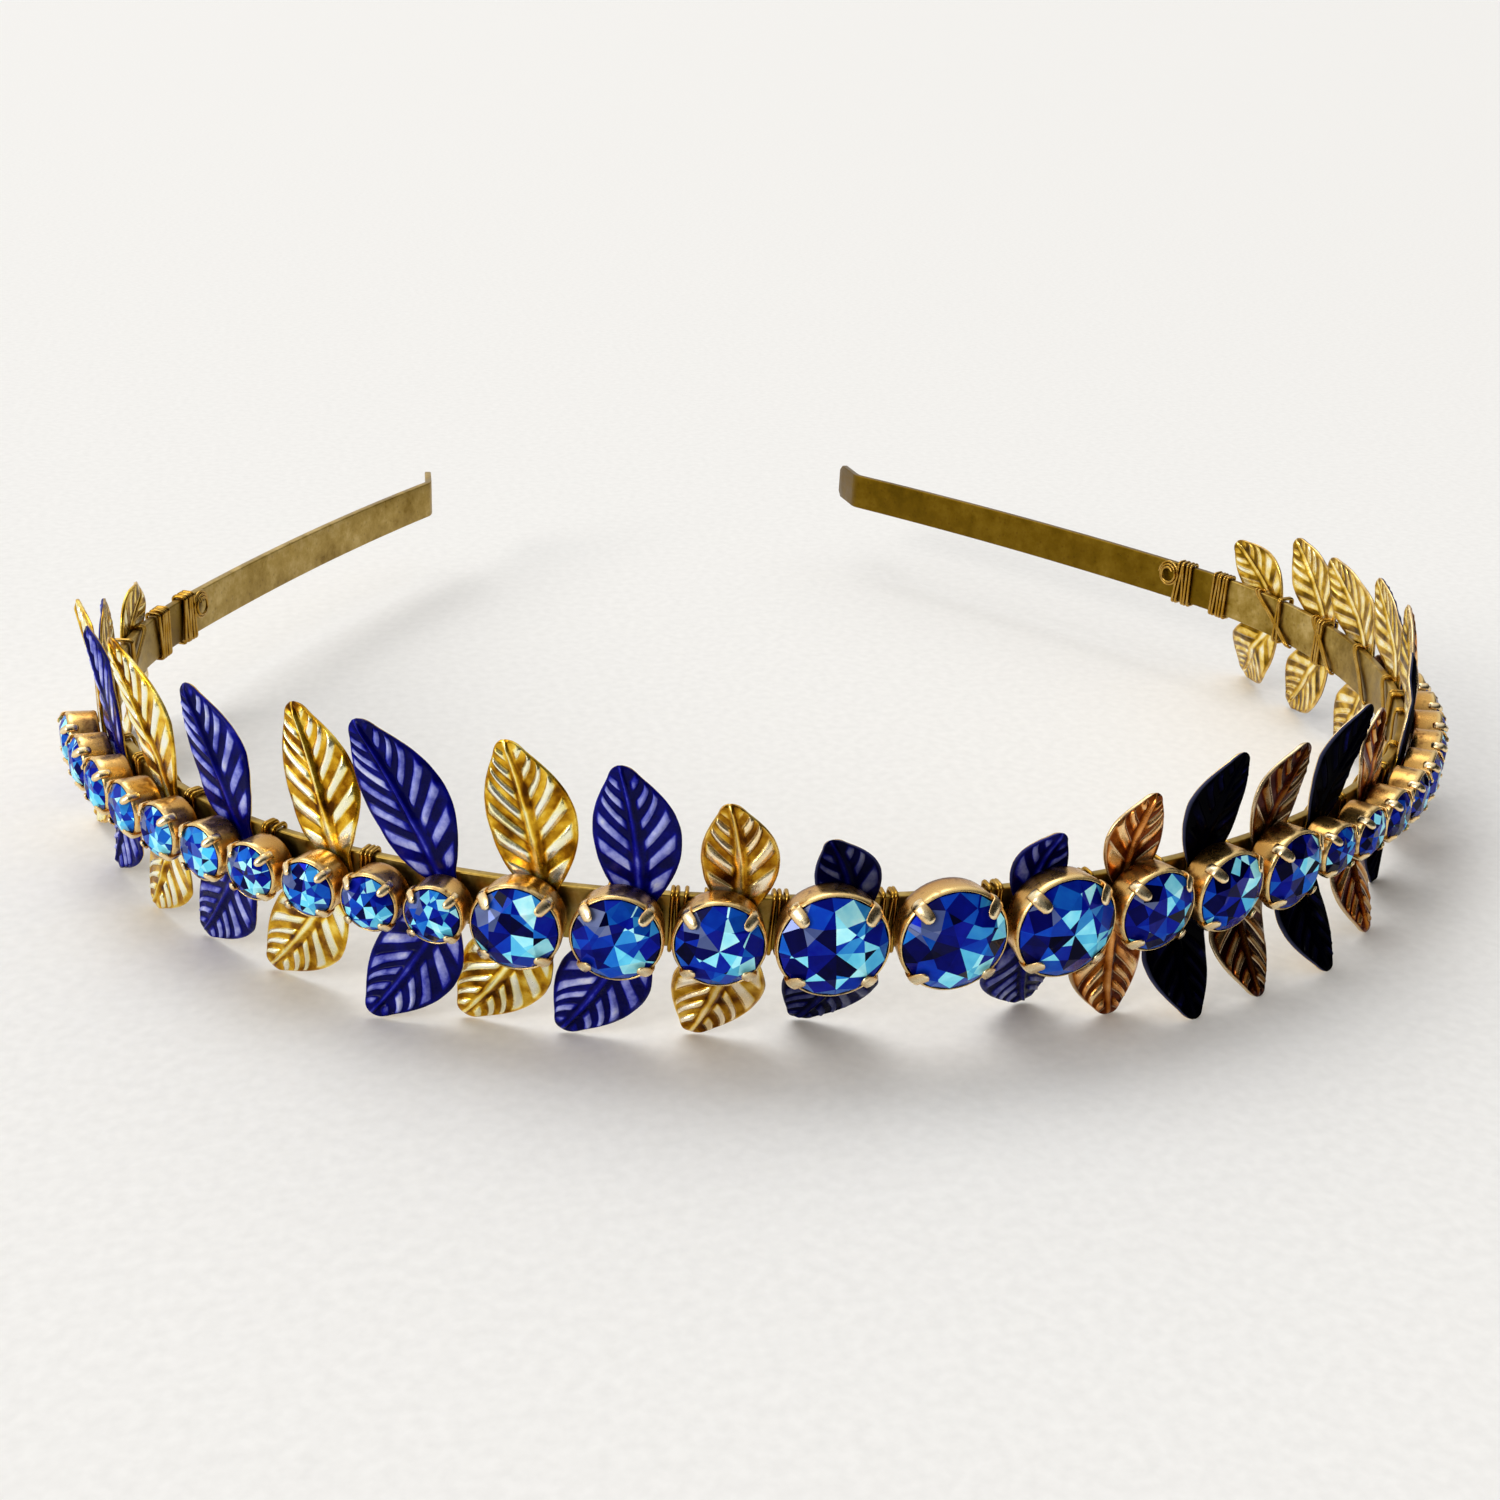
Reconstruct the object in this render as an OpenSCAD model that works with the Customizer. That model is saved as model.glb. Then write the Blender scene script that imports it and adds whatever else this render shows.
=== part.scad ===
/* [Headband] */
// Width of the brass strip, which stands on its edge
band_w = 5; // [4:0.5:6]
// Thickness of the strip
band_t = 0.9; // [0.7:0.1:1.3]
// Height of the strip's middle line above the surface that the leaf tips rest on
band_lift = 12.2; // [11.4:0.2:14]
// Plan radius of the front of the band
front_r = 85.6; // [80:0.4:96]
// Half of the arc that the front takes, in degrees
front_arc = 36; // [33:1:39]
// Plan radius of the bend at each side
side_r = 52.4; // [48:0.4:58]
// Arc of each side bend, in degrees
side_arc = 83; // [78:1:86]
// Plan radius of the nearly straight arms
arm_r = 346; // [300:2:450]
// Length of each arm, from the side bend to the bend of its tab
arm_len = 58; // [50:1:70]
// Angle by which the end tabs are bent outward
tab_bend = 35; // [20:1:50]
// Radius of the tab's bend, at the strip's middle line
tab_bend_r = 2.4; // [1.6:0.2:4]
// Length of the flat end tab after its bend
tab_len = 5.6; // [4:0.2:8]
// Clipped corner of the end tab
tab_corner = 0.8; // [0.4:0.2:1.4]

/* [Stones] */
// Diameter of the large stones at the front centre
large_stone = 9.15; // [8:0.05:10]
// Diameter of the medium stones beside them
medium_stone = 7.35; // [6.5:0.05:8]
// Diameter of the small stones along the sides
small_stone = 4.85; // [4.4:0.05:5.4]
// Crown height of a stone, as a share of its diameter
crown_share = 0.14; // [0.1:0.01:0.18]
// Table width of a stone, as a share of its diameter
table_share = 0.56; // [0.48:0.01:0.64]
// Thickness of the girdle
girdle_t = 0.2; // [0.1:0.05:0.3]

/* [Settings] */
// Height of a cup from its base to its rim
cup_h = 3; // [2.8:0.1:3.6]
// Wall and floor of a cup
cup_wall = 0.25; // [0.2:0.05:0.4]
// Base width of a cup, as a share of its rim
cup_base_share = 0.94; // [0.86:0.01:0.98]
// Gap between neighbouring rims, measured along the band
rim_gap = 0.15; // [0.1:0.05:0.5]
// Width of a prong on a large cup
large_prong_w = 1.25; // [1:0.05:1.6]
// Width of a prong on a medium cup
medium_prong_w = 1.05; // [0.9:0.05:1.4]
// Width of a prong on a small cup
small_prong_w = 0.8; // [0.7:0.05:1]
// Thickness of a prong
prong_t = 0.3; // [0.2:0.05:0.4]
// How far a prong reaches in over the stone, as a share of the stone's radius
prong_reach = 0.22; // [0.16:0.01:0.28]

/* [Leaves] */
// Greatest width of a leaf
leaf_w = 8; // [7:0.1:8.4]
// Thickness of the stamped sheet
leaf_t = 0.4; // [0.3:0.05:0.5]
// Length of a full-grown upper leaf, from its waist to its tip
upper_leaf_len = 17; // [15:0.2:19]
// Width of the waist between the two leaves
waist_w = 1.8; // [1.4:0.1:2.2]
// Height of the midrib over the blade
midrib_h = 0.22; // [0.1:0.02:0.3]
// How far the edges of a leaf bend back
edge_bend = 0.55; // [0.2:0.05:0.7]
// Radius at which a leaf bends away from the band
leaf_bend_r = 3; // [2:0.5:4]
// Distance from the middle of a gap between stones to the waist of the leaf pair beside it
waist_shift = 2.2; // [1.9:0.1:2.6]
// Pitch of the leaf pairs along the sides
side_pair_pitch = 10.4; // [10:0.1:11.2]

/* [Binding wire] */
// Diameter of the wire
wire_d = 0.4; // [0.3:0.05:0.5]
// Pitch of neighbouring turns in a bundle
wire_pitch = 0.54; // [0.5:0.02:0.7]
// Turns wound against each leaf pair, where the band is bare
bundle_turns = 3; // [1:1:4]
// Turns over the waist of a leaf pair that has no stones over it
waist_turns = 2; // [1:1:2]
// Distance from the nearest of these turns to the middle of the waist
waist_turn_lead = 0.45; // [0.4:0.05:0.6]
// Turns in each of the two bundles behind the last leaf pair
end_turns = 5; // [3:1:6]
// Distance between the middles of the two end bundles
end_bundle_gap = 6; // [5:0.2:9]

/* [Hidden] */
// Clearances between a leaf and the band, a cup and a leaf, a wire and the band, a stone and its cup
leaf_gap = 0.15;
cup_gap = 0.3;
wire_gap = 0.1;
// Free space between a wire turn and the edge of a leaf where it crosses the band
wire_clearance = 0.4;
stone_gap = 0.1;
// How far a blade stays flat past the rim of a cup, and past the edge of the band
past_rim = 0.5;
past_band = 0.4;
// Half width of a blade where it leaves the band, as a share of the leaf's width
crossing_share = 0.38;
// How far along the band, to each side of its waist, a leaf pair follows the band's bend
hug_len = 6;
cup_fn = 48;
wire_fn = 24;

// Stones are numbered outward from the one at the centre, and are negative on the left.
large_each_side = 1;
medium_each_side = 3;
small_each_side = 10;
stones_each_side = large_each_side + medium_each_side + small_each_side;
stone_numbers = [for (i = [-stones_each_side:stones_each_side]) i];
// Sides of a stone's table, and how far out its crown's kites meet, as a share of its radius
stone_facets = 8;
kite_share = 0.80;
// Each stone is turned a little further than the last, as loose stones are when they are set.
stone_turn = 17;
// Depth of a girdle's middle under the cup's rim, width of the seat under it, height of the straight rim
girdle_drop = 0.1;
seat_w = 0.35;
rim_h = 0.7;
// Foot of a prong under the cup's rim, height of its slope, and how far it stands out from the wall
prong_foot = 1.1;
prong_slope_h = 0.5;
prong_out = 0.24;

// Directions of the leaves in degrees, one row for each pair going outward from the centre.
// A lean is away from the centre of the front, and a tilt is outward, away from the head.
// An upper leaf's size is a share of the full-grown leaf's length, since the front ones are smaller.
left_leaves = [
    // upper lean, upper tilt, lower lean, lower tilt, upper size
    [17, 4, 16, -32, 0.52],
    [5, 4, 16, -15, 0.69],
    [7, 4, 29, -5, 0.87],
    [11, 4, 32, -6, 0.96],
    [29, 0, 30, 14, 1.04],
    [20, -8, 36, -5, 0.94],
    [29, -2, 33, -5, 0.93],
    [28, 6, 24, 1, 1.02],
    [46, 2, 22, 3, 0.97],
    [47, 11, 26, 9, 0.94],
    [48, 11, 34, 20, 0.71],
    [50, 38, 36, 24, 0.62]
];
right_leaves = [
    // upper lean, upper tilt, lower lean, lower tilt, upper size
    [20, 4, 16, -29, 0.48],
    [10, 4, 1, 0, 0.61],
    [15, 4, -7, 31, 0.76],
    [20, 4, -8, 31, 0.72],
    [27, 4, -3, 32, 0.85],
    [18, -8, -6, 23, 0.62],
    [45, -11, -2, 0, 0.88],
    [37, -8, 23, 2, 0.95],
    [42, -8, 28, 2, 0.97],
    [49, -8, 28, 4, 0.98],
    [43, 0, 37, 14, 0.88],
    [50, 0, 38, 31, 0.72]
];
pair_count = len(left_leaves);
// Pairs are numbered outward from the centre, and are negative on the left.
pair_numbers = [for (side = [-1, 1]) for (k = [1:pair_count]) side * k];

// Outline of a leaf from its waist to its tip, in shares of its length and of its greatest width
leaf_outline = [
    // distance, width
    [0.10, 0.28],
    [0.20, 0.56],
    [0.31, 0.81],
    [0.43, 0.96],
    [0.54, 1.00],
    [0.65, 0.94],
    [0.75, 0.80],
    [0.84, 0.60],
    [0.92, 0.35],
    [1.00, 0.07]
];
outline_rows = len(leaf_outline);
tip_w = leaf_outline[outline_rows - 1][1] * leaf_w;
// Spaces between the lines of points across a leaf
leaf_strips = 4;

// Names of the nodes
function side_name(i) = i < 0 ? "left" : "right";
function stone_name(i) = i == 0 ? "stone_centre" : str("stone_", side_name(i), "_", abs(i));
function pair_name(i) = str("leaf_pair_", side_name(i), "_", abs(i));

// Places of the stones along the band
function stone_d(i) =
    abs(i) <= large_each_side ? large_stone
    : abs(i) <= large_each_side + medium_each_side ? medium_stone
    : small_stone;
function cup_d_of(d) = d + 2 * (cup_wall + stone_gap);
function cup_d(i) = cup_d_of(stone_d(i));
function prong_w(i) =
    abs(i) <= large_each_side ? large_prong_w
    : abs(i) <= large_each_side + medium_each_side ? medium_prong_w
    : small_prong_w;
function stone_at(i) =
    i == 0 ? 0
    : i < 0 ? -stone_at(-i)
    : stone_at(i - 1) + (cup_d(i - 1) + cup_d(i)) / 2 + rim_gap;
// Middle of the gap between stones i - 1 and i
function gap_at(i) = stone_at(i) - cup_d(i) / 2 - rim_gap / 2;

// Heights over the base of a cup: its stone's girdle and pavilion, a prong over the girdle, and the top
girdle_h = cup_h - girdle_drop;
pavilion_h = girdle_h - cup_wall - stone_gap;
prong_over_h = girdle_h + girdle_t / 2 + stone_gap;
function kite_rise(d) =
    crown_share * d * (1 - kite_share * cos(180 / stone_facets)) / (1 - table_share);
function prong_tip_rise(d) = kite_rise(d) * prong_reach / (1 - kite_share);
function setting_reach(d) =
    max(girdle_h + girdle_t / 2 + crown_share * d, prong_over_h + prong_tip_rise(d) + prong_t);

// Places of the leaf pairs along the band. The first ones stand beside the gaps of the larger stones.
front_pairs = large_each_side + medium_each_side + 1;
function waist_at(i) =
    i < 0 ? -waist_at(-i)
    : i <= front_pairs ? gap_at(i) + waist_shift
    : waist_at(front_pairs) + (i - front_pairs) * side_pair_pitch;

// Plan of the band from the middle of its front: x, y and direction at a distance along it
arm_arc = arm_len / arm_r * 180 / PI;
function along_arc(from, r, a) = [
    from[0] + r * (sin(from[2] + a) - sin(from[2])),
    from[1] - r * (cos(from[2] + a) - cos(from[2])),
    from[2] + a
];
front_start = [0, 0, 0];
side_start = along_arc(front_start, front_r, front_arc);
arm_start = along_arc(side_start, side_r, side_arc);
tab_start = along_arc(arm_start, arm_r, arm_arc);
front_len = front_r * front_arc * PI / 180;
side_len = side_r * side_arc * PI / 180;
function plan(s) =
    s < 0 ? let (p = plan(-s)) [-p[0], p[1], -p[2]]
    : s <= front_len ? along_arc(front_start, front_r, s / front_r * 180 / PI)
    : s <= front_len + side_len ? along_arc(side_start, side_r, (s - front_len) / side_r * 180 / PI)
    : along_arc(arm_start, arm_r, (s - front_len - side_len) / arm_r * 180 / PI);

// Plan radius of the band behind the waist of a leaf pair
function plan_r_at(i) =
    let (s = waist_at(abs(i))) s < front_len ? front_r : s < front_len + side_len ? side_r : arm_r;

// Distances outward from the band's middle line to the middle of a leaf and to the base of a cup
leaf_seat = band_t / 2 + leaf_gap + leaf_t / 2;
cup_seat = leaf_seat + leaf_t / 2 + cup_gap;

// A blade lies flat until all its width is past the band's edge, and past the cup if it bends outward.
cups_end = stone_at(stones_each_side) + cup_d(stones_each_side) / 2;
function flat_len(i, lean, tilt) =
    let (under_cup = tilt > 0 && waist_at(abs(i)) < cups_end,
         rim = under_cup ? cup_d(min(abs(i), stones_each_side)) / 2 + past_rim : 0)
    max(rim, (band_w / 2 + past_band + crossing_share * leaf_w * sin(abs(lean))) / cos(lean));
// Distance along the blade's axis, distance outward and bend, at a length d from the waist
function blade(d, flat, tilt) =
    let (turn = abs(tilt), side = sign(tilt), bent = leaf_bend_r * turn * PI / 180, rest = d - flat - bent)
    d <= flat ? [d, 0, 0]
    : rest <= 0
        ? let (a = (d - flat) / leaf_bend_r * 180 / PI)
          [flat + leaf_bend_r * sin(a), side * leaf_bend_r * (1 - cos(a)), side * a]
    : [flat + leaf_bend_r * sin(turn) + rest * cos(turn),
       side * (leaf_bend_r * (1 - cos(turn)) + rest * sin(turn)), tilt];
// Length of a lower leaf whose tip touches the surface
function lower_len(flat, lean, tilt) =
    let (turn = abs(tilt), corner = (tip_w * sin(abs(lean)) + leaf_t * sin(turn) * cos(lean)) / 2,
         reach = (band_lift - corner) / cos(lean))
    flat + leaf_bend_r * turn * PI / 180 + (reach - flat - leaf_bend_r * sin(turn)) / cos(turn);

// Length and greatest width of an upper leaf. A smaller one is narrower too, by less than it is shorter.
function upper_len(turns) = turns[4] * upper_leaf_len;
function upper_w(turns) = leaf_w * sqrt(min(1, turns[4]));

// Rows of a leaf pair from the lower tip to the upper one: place along the band, height, distance
// outward, direction across and bend of the row, its width, and its distance past the flat stretch
function pair_rows(i) =
    let (turns = (i < 0 ? left_leaves : right_leaves)[abs(i) - 1],
         low_flat = flat_len(i, turns[2], turns[3]), low_len = lower_len(low_flat, turns[2], turns[3]),
         up_flat = flat_len(i, turns[0], turns[1]))
    concat(
        [for (k = [outline_rows - 1:-1:0])
            leaf_row(leaf_outline[k], -1, turns[2], turns[3], low_flat, low_len, leaf_w)],
        [waist_row(turns[0], turns[2])],
        [for (k = [0:outline_rows - 1])
            leaf_row(leaf_outline[k], 1, turns[0], turns[1], up_flat, upper_len(turns), upper_w(turns))]
    );
function leaf_row(share, up, lean, tilt, flat, length, width) =
    let (d = share[0] * length, b = blade(d, flat, tilt))
    [[b[0] * sin(lean), up * b[0] * cos(lean), b[1]], [cos(lean), -up * sin(lean)],
     [-sin(b[2]) * sin(lean), -up * sin(b[2]) * cos(lean), cos(b[2])],
     share[1] * width, min(1, max(0, (d - flat) / leaf_bend_r))];
function waist_row(upper_lean, lower_lean) =
    let (turn = (upper_lean - lower_lean) / 2)
    [[0, 0, 0], [cos(turn), -sin(turn)], [0, 0, 1], waist_w, 0];

// A point of a leaf: across runs from -1 to 1, and face is 1 in front and -1 behind
function leaf_point(row, across, face, bend_r) =
    let (rise = row[4] * ((across == 0 ? midrib_h : 0) - edge_bend * pow(across * row[3] / leaf_w, 2)),
         side = across * row[3] / 2, off = rise + face * leaf_t / 2,
         x = row[0][0] + side * row[1][0] + off * row[2][0])
    [x, hug(x, bend_r) - (row[0][2] + off * row[2][2]) - leaf_seat,
     row[0][1] + side * row[1][1] + off * row[2][1]];
// How far the band bends away from its tangent at a distance x along it
function hug(x, bend_r) = let (near = min(abs(x), hug_len)) near / bend_r * (abs(x) - near / 2);

// Frames on the band: x along it to the right, -y outward, z up
module at_band(s) {
    p = plan(s);
    translate([p[0], p[1] + front_y, band_lift]) rotate([0, 0, p[2]]) children();
}

// Origin: the middle of the whole object's depth, between the centre setting or the foremost leaf tip
// and the end tabs
function tip_y(i) =
    let (rows = pair_rows(i), p = plan(waist_at(abs(i))),
         tip = leaf_point(rows[2 * outline_rows], 0, 1, plan_r_at(i)))
    p[1] + tip[0] * sin(p[2]) + tip[1] * cos(p[2]);
front_reach = min(concat([-cup_seat - setting_reach(large_stone)], [for (i = pair_numbers) tip_y(i)]));
tab_bent = along_arc(tab_start, -tab_bend_r, -tab_bend);
back_reach = tab_bent[1] + tab_len * sin(tab_bent[2]);
front_y = -(front_reach + back_reach) / 2;

// Middle line of the band's right half, in short steps: x, y and direction
step_len = 2.5;
step_turn = 6;
function arc_steps(from, r, a) =
    let (n = ceil(max(abs(r * a) * PI / 180 / step_len, abs(a) / step_turn)))
    [for (k = [0:n - 1]) along_arc(from, r, a * k / n)];
half_path = concat(
    arc_steps(front_start, front_r, front_arc),
    arc_steps(side_start, side_r, side_arc),
    arc_steps(arm_start, arm_r, arm_arc),
    arc_steps(tab_start, -tab_bend_r, -tab_bend),
    [tab_bent, tab_bent + [tab_len * cos(tab_bent[2]), tab_len * sin(tab_bent[2]), 0]]
);
band_path = concat(
    [for (k = [len(half_path) - 1:-1:1]) [-half_path[k][0], half_path[k][1], -half_path[k][2]]],
    half_path
);
function beside(p, out) = [p[0] + out * sin(p[2]), p[1] - out * cos(p[2])];

// Clipped upper corner of the right tab
module corner_cut() {
    over = 1;
    translate([tab_bent[0], tab_bent[1], 0]) rotate([90, 0, tab_bent[2]])
        linear_extrude(height = band_t + over, center = true) polygon([
            [tab_len - tab_corner - over, band_w / 2 + over],
            [tab_len + over, band_w / 2 - tab_corner - over],
            [tab_len + over, band_w / 2 + over]
        ]);
}

module headband() {
    last = len(band_path) - 1;
    outline = concat(
        [for (k = [0:last]) beside(band_path[k], band_t / 2)],
        [for (k = [last:-1:0]) beside(band_path[k], -band_t / 2)]
    );
    color("#a8842c") translate([0, front_y, band_lift]) difference() {
        linear_extrude(height = band_w, center = true) polygon(outline);
        corner_cut();
        mirror([0, 0, 1]) corner_cut();
        mirror([1, 0, 0]) corner_cut();
        mirror([1, 0, 0]) mirror([0, 0, 1]) corner_cut();
    }
}

// Cup with a seat for the stone's girdle, on the axis of the stone
module cup(d) {
    rim_r = cup_d_of(d) / 2;
    base_r = cup_base_share * rim_r;
    seat_h = girdle_h - girdle_t / 2 - seat_w / (d / 2) * pavilion_h - stone_gap;
    rotate_extrude($fn = cup_fn) polygon([
        [0, 0],
        [base_r, 0],
        [rim_r, cup_h - rim_h],
        [rim_r, cup_h],
        [d / 2 + stone_gap, cup_h],
        [d / 2 + stone_gap, seat_h],
        [d / 2 - seat_w, seat_h],
        [d / 2 - seat_w, seat_h - cup_wall],
        [base_r - cup_wall, cup_wall],
        [0, cup_wall]
    ]);
}

// Prong: it rises on the outside of the rim and bends in over the crown
module prong(d, w) {
    rim_r = cup_d_of(d) / 2;
    root_h = cup_h - prong_foot;
    tip_r = d / 2 * (1 - prong_reach);
    tip_h = prong_over_h + prong_tip_rise(d);
    spread = w / rim_r * 180 / PI;
    rotate([0, 0, -spread / 2]) rotate_extrude(angle = spread, $fn = cup_fn) polygon([
        [rim_r - cup_wall / 2, root_h],
        [rim_r + prong_out, root_h + prong_slope_h],
        [rim_r + prong_out, prong_over_h],
        [tip_r, tip_h + prong_t],
        [tip_r, tip_h],
        [rim_r - cup_wall / 2, prong_over_h]
    ]);
}

module setting(i) {
    at_band(stone_at(i)) translate([0, -cup_seat, 0]) rotate([90, 0, 0]) {
        cup(stone_d(i));
        for (turn = [45:90:315]) rotate([0, 0, turn]) prong(stone_d(i), prong_w(i));
    }
}

module settings(first, last) {
    color("#d9a520") for (i = stone_numbers) if (abs(i) >= first && abs(i) <= last) setting(i);
}
module settings_large() { settings(0, large_each_side); }
module settings_medium() { settings(large_each_side + 1, large_each_side + medium_each_side); }
module settings_small() { settings(large_each_side + medium_each_side + 1, stones_each_side); }

// Round cut stone: an eight-sided table, kites, a thin girdle and a pointed pavilion
function ring(count, r, h, turn = 0) = [for (k = [0:count - 1])
    [r * cos(turn + k * 360 / count), r * sin(turn + k * 360 / count), h]];
module cut_stone(d) {
    r = d / 2;
    n = stone_facets;
    half = 180 / n;
    table_r = table_share * r;
    crown_h = crown_share * d;
    top = girdle_t / 2;
    points = concat(
        ring(n, table_r, top + crown_h),
        ring(n, kite_share * r, top + kite_rise(d), half),
        ring(2 * n, r, top),
        ring(2 * n, r, -top),
        [[0, 0, -pavilion_h]]
    );
    kites = n;
    upper = 2 * n;
    lower = 4 * n;
    culet = 6 * n;
    faces = concat(
        [[for (k = [n - 1:-1:0]) k]],
        [for (k = [0:n - 1]) [k, (k + 1) % n, kites + k]],
        [for (k = [0:n - 1]) [k, kites + k, upper + 2 * k, kites + (k + n - 1) % n]],
        [for (k = [0:n - 1]) [kites + k, upper + 2 * k + 1, upper + 2 * k]],
        [for (k = [0:n - 1]) [kites + k, upper + (2 * k + 2) % (2 * n), upper + 2 * k + 1]],
        [for (k = [0:2 * n - 1]) [upper + k, upper + (k + 1) % (2 * n), lower + (k + 1) % (2 * n), lower + k]],
        [for (k = [0:2 * n - 1]) [lower + k, lower + (k + 1) % (2 * n), culet]]
    );
    polyhedron(points = points, faces = faces);
}

module stone(i) {
    color("#1a3fbf") at_band(stone_at(i)) translate([0, -cup_seat - girdle_h, 0]) rotate([90, 0, 0])
        rotate([0, 0, i * stone_turn]) cut_stone(stone_d(i));
}

// A leaf pair is one stamping: a lower and an upper leaf joined by a narrow waist on the band.
module leaf_pair(i) {
    rows = pair_rows(i);
    n = len(rows);
    m = leaf_strips + 1;
    bend_r = plan_r_at(i);
    points = [for (row = rows) for (face = [1, -1]) for (k = [0:leaf_strips])
        leaf_point(row, 2 * k / leaf_strips - 1, face, bend_r)];
    front = [for (r = [0:n - 2]) for (k = [0:leaf_strips - 1])
        [[r, k], [r + 1, k], [r + 1, k + 1], [r, k + 1]]];
    faces = concat(
        [for (q = front) for (t = [[0, 1, 2], [0, 2, 3]]) [for (v = t) q[v][0] * 2 * m + q[v][1]]],
        [for (q = front) for (t = [[2, 1, 0], [3, 2, 0]]) [for (v = t) (q[v][0] * 2 + 1) * m + q[v][1]]],
        [for (r = [0:n - 2]) for (t = [[0, m, 3 * m], [0, 3 * m, 2 * m]]) [for (v = t) r * 2 * m + v]],
        [for (r = [0:n - 2]) for (t = [[3 * m, m, 0], [2 * m, 3 * m, 0]])
            [for (v = t) r * 2 * m + leaf_strips + v]],
        [for (k = [0:leaf_strips - 1]) for (t = [[k, k + 1, k + 1 + m], [k, k + 1 + m, k + m]]) t],
        [for (k = [0:leaf_strips - 1]) for (t = [[k + 1, k, k + m], [k + 1, k + m, k + 1 + m]])
            [for (v = t) (n - 1) * 2 * m + v]]
    );
    color(abs(i) % 2 == 1 ? "#101a6e" : "#e0a91f") at_band(waist_at(i))
        if (i < 0) mirror([1, 0, 0]) polyhedron(points = points, faces = faces);
        else polyhedron(points = points, faces = faces);
}

// Stretch of the band's edges that a leaf pair crosses, up to the height of the wire over the band
turn_h = band_w / 2 + wire_gap + wire_d;
turn_room = wire_d / 2 + wire_clearance;
function half_w_at(d, length, width) =
    lookup(d / length, concat([[0, waist_w / width]], leaf_outline)) * width / 2;
// Length along a blade at which its edge reaches a height, found in a few rounds
edge_rounds = 4;
function edge_d(h, lean, length, width, side, rounds = edge_rounds) =
    let (before = rounds == 0 ? 0 : edge_d(h, lean, length, width, side, rounds - 1),
         w = rounds == 0 ? 0 : half_w_at(before, length, width))
    (h + side * w * sin(lean)) / cos(lean);
function edge_at(h, lean, length, width, side) =
    let (d = edge_d(h, lean, length, width, side))
    d * sin(lean) + side * half_w_at(d, length, width) * cos(lean);
function leaf_span(i, z) =
    let (turns = (i < 0 ? left_leaves : right_leaves)[abs(i) - 1],
         low = lower_len(flat_len(i, turns[2], turns[3]), turns[2], turns[3]),
         lean = z < 0 ? turns[2] : turns[0],
         length = z < 0 ? low : upper_len(turns), width = z < 0 ? leaf_w : upper_w(turns))
    [for (side = [-1, 1]) waist_at(abs(i)) + edge_at(abs(z), lean, length, width, side)];
function pair_span(i) =
    let (spans = [for (z = [-1, -0.5, 0, 0.5, 1]) leaf_span(i, z * turn_h)])
    [min([for (span = spans) min(span)]), max([for (span = spans) max(span)])];

// A turn round the band alone, or also round the waist of a leaf pair
module wire_turn(s, over = 0) {
    inner_t = band_t + over + 2 * wire_gap;
    inner_w = band_w + 2 * wire_gap;
    at_band(s) translate([0, -over / 2, 0]) rotate([90, 0, 90])
        linear_extrude(height = wire_d, center = true) difference() {
            union() {
                square([inner_t, inner_w + 2 * wire_d], center = true);
                square([inner_t + 2 * wire_d, inner_w], center = true);
                for (x = [-1, 1]) for (y = [-1, 1])
                    translate([x * inner_t / 2, y * inner_w / 2]) circle(r = wire_d, $fn = wire_fn);
            }
            square([inner_t, inner_w], center = true);
        }
}

// Places of the turns against a pair and over its waist, as far as the pair before it leaves room
function room_from(i) = abs(i) == 1 ? wire_pitch : pair_span(i - sign(i))[1] + turn_room;
function turns_against(i) =
    let (start = pair_span(i)[0] - turn_room, stop = room_from(i))
    [for (k = [0:bundle_turns - 1]) if (start - k * wire_pitch > stop) start - k * wire_pitch];
function turns_over(i) =
    let (start = waist_at(abs(i)) - waist_turn_lead, stop = room_from(i))
    [for (k = [0:waist_turns - 1]) if (start - k * wire_pitch > stop) start - k * wire_pitch];
function end_bundles(side) =
    let (first = pair_span(side * pair_count)[1] + turn_room + (end_turns - 1) / 2 * wire_pitch)
    [first, first + end_bundle_gap];

module binding_wire(side) {
    color("#c9971c") {
        for (i = [1:pair_count]) for (s = turns_against(side * i)) wire_turn(side * s);
        for (i = [1:pair_count]) if (waist_at(i) > cups_end) for (s = turns_over(side * i))
            wire_turn(side * s, over = leaf_gap + leaf_t);
        for (s = end_bundles(side)) for (k = [0:end_turns - 1])
            wire_turn(side * (s + (k - (end_turns - 1) / 2) * wire_pitch));
    }
}
module binding_wire_left() { binding_wire(-1); }
module binding_wire_right() { binding_wire(1); }

headband();
settings_large();
settings_medium();
settings_small();
binding_wire_left();
binding_wire_right();
for (i = stone_numbers) stone(i);
for (i = pair_numbers) leaf_pair(i);
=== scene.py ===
# Leaf diadem: the looks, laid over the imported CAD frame. Sizes in the dictionaries are in millimetres.
import math
import random
from functools import partial
import bmesh
import bpy
import numpy as np
from mathutils import Matrix, Vector


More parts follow.
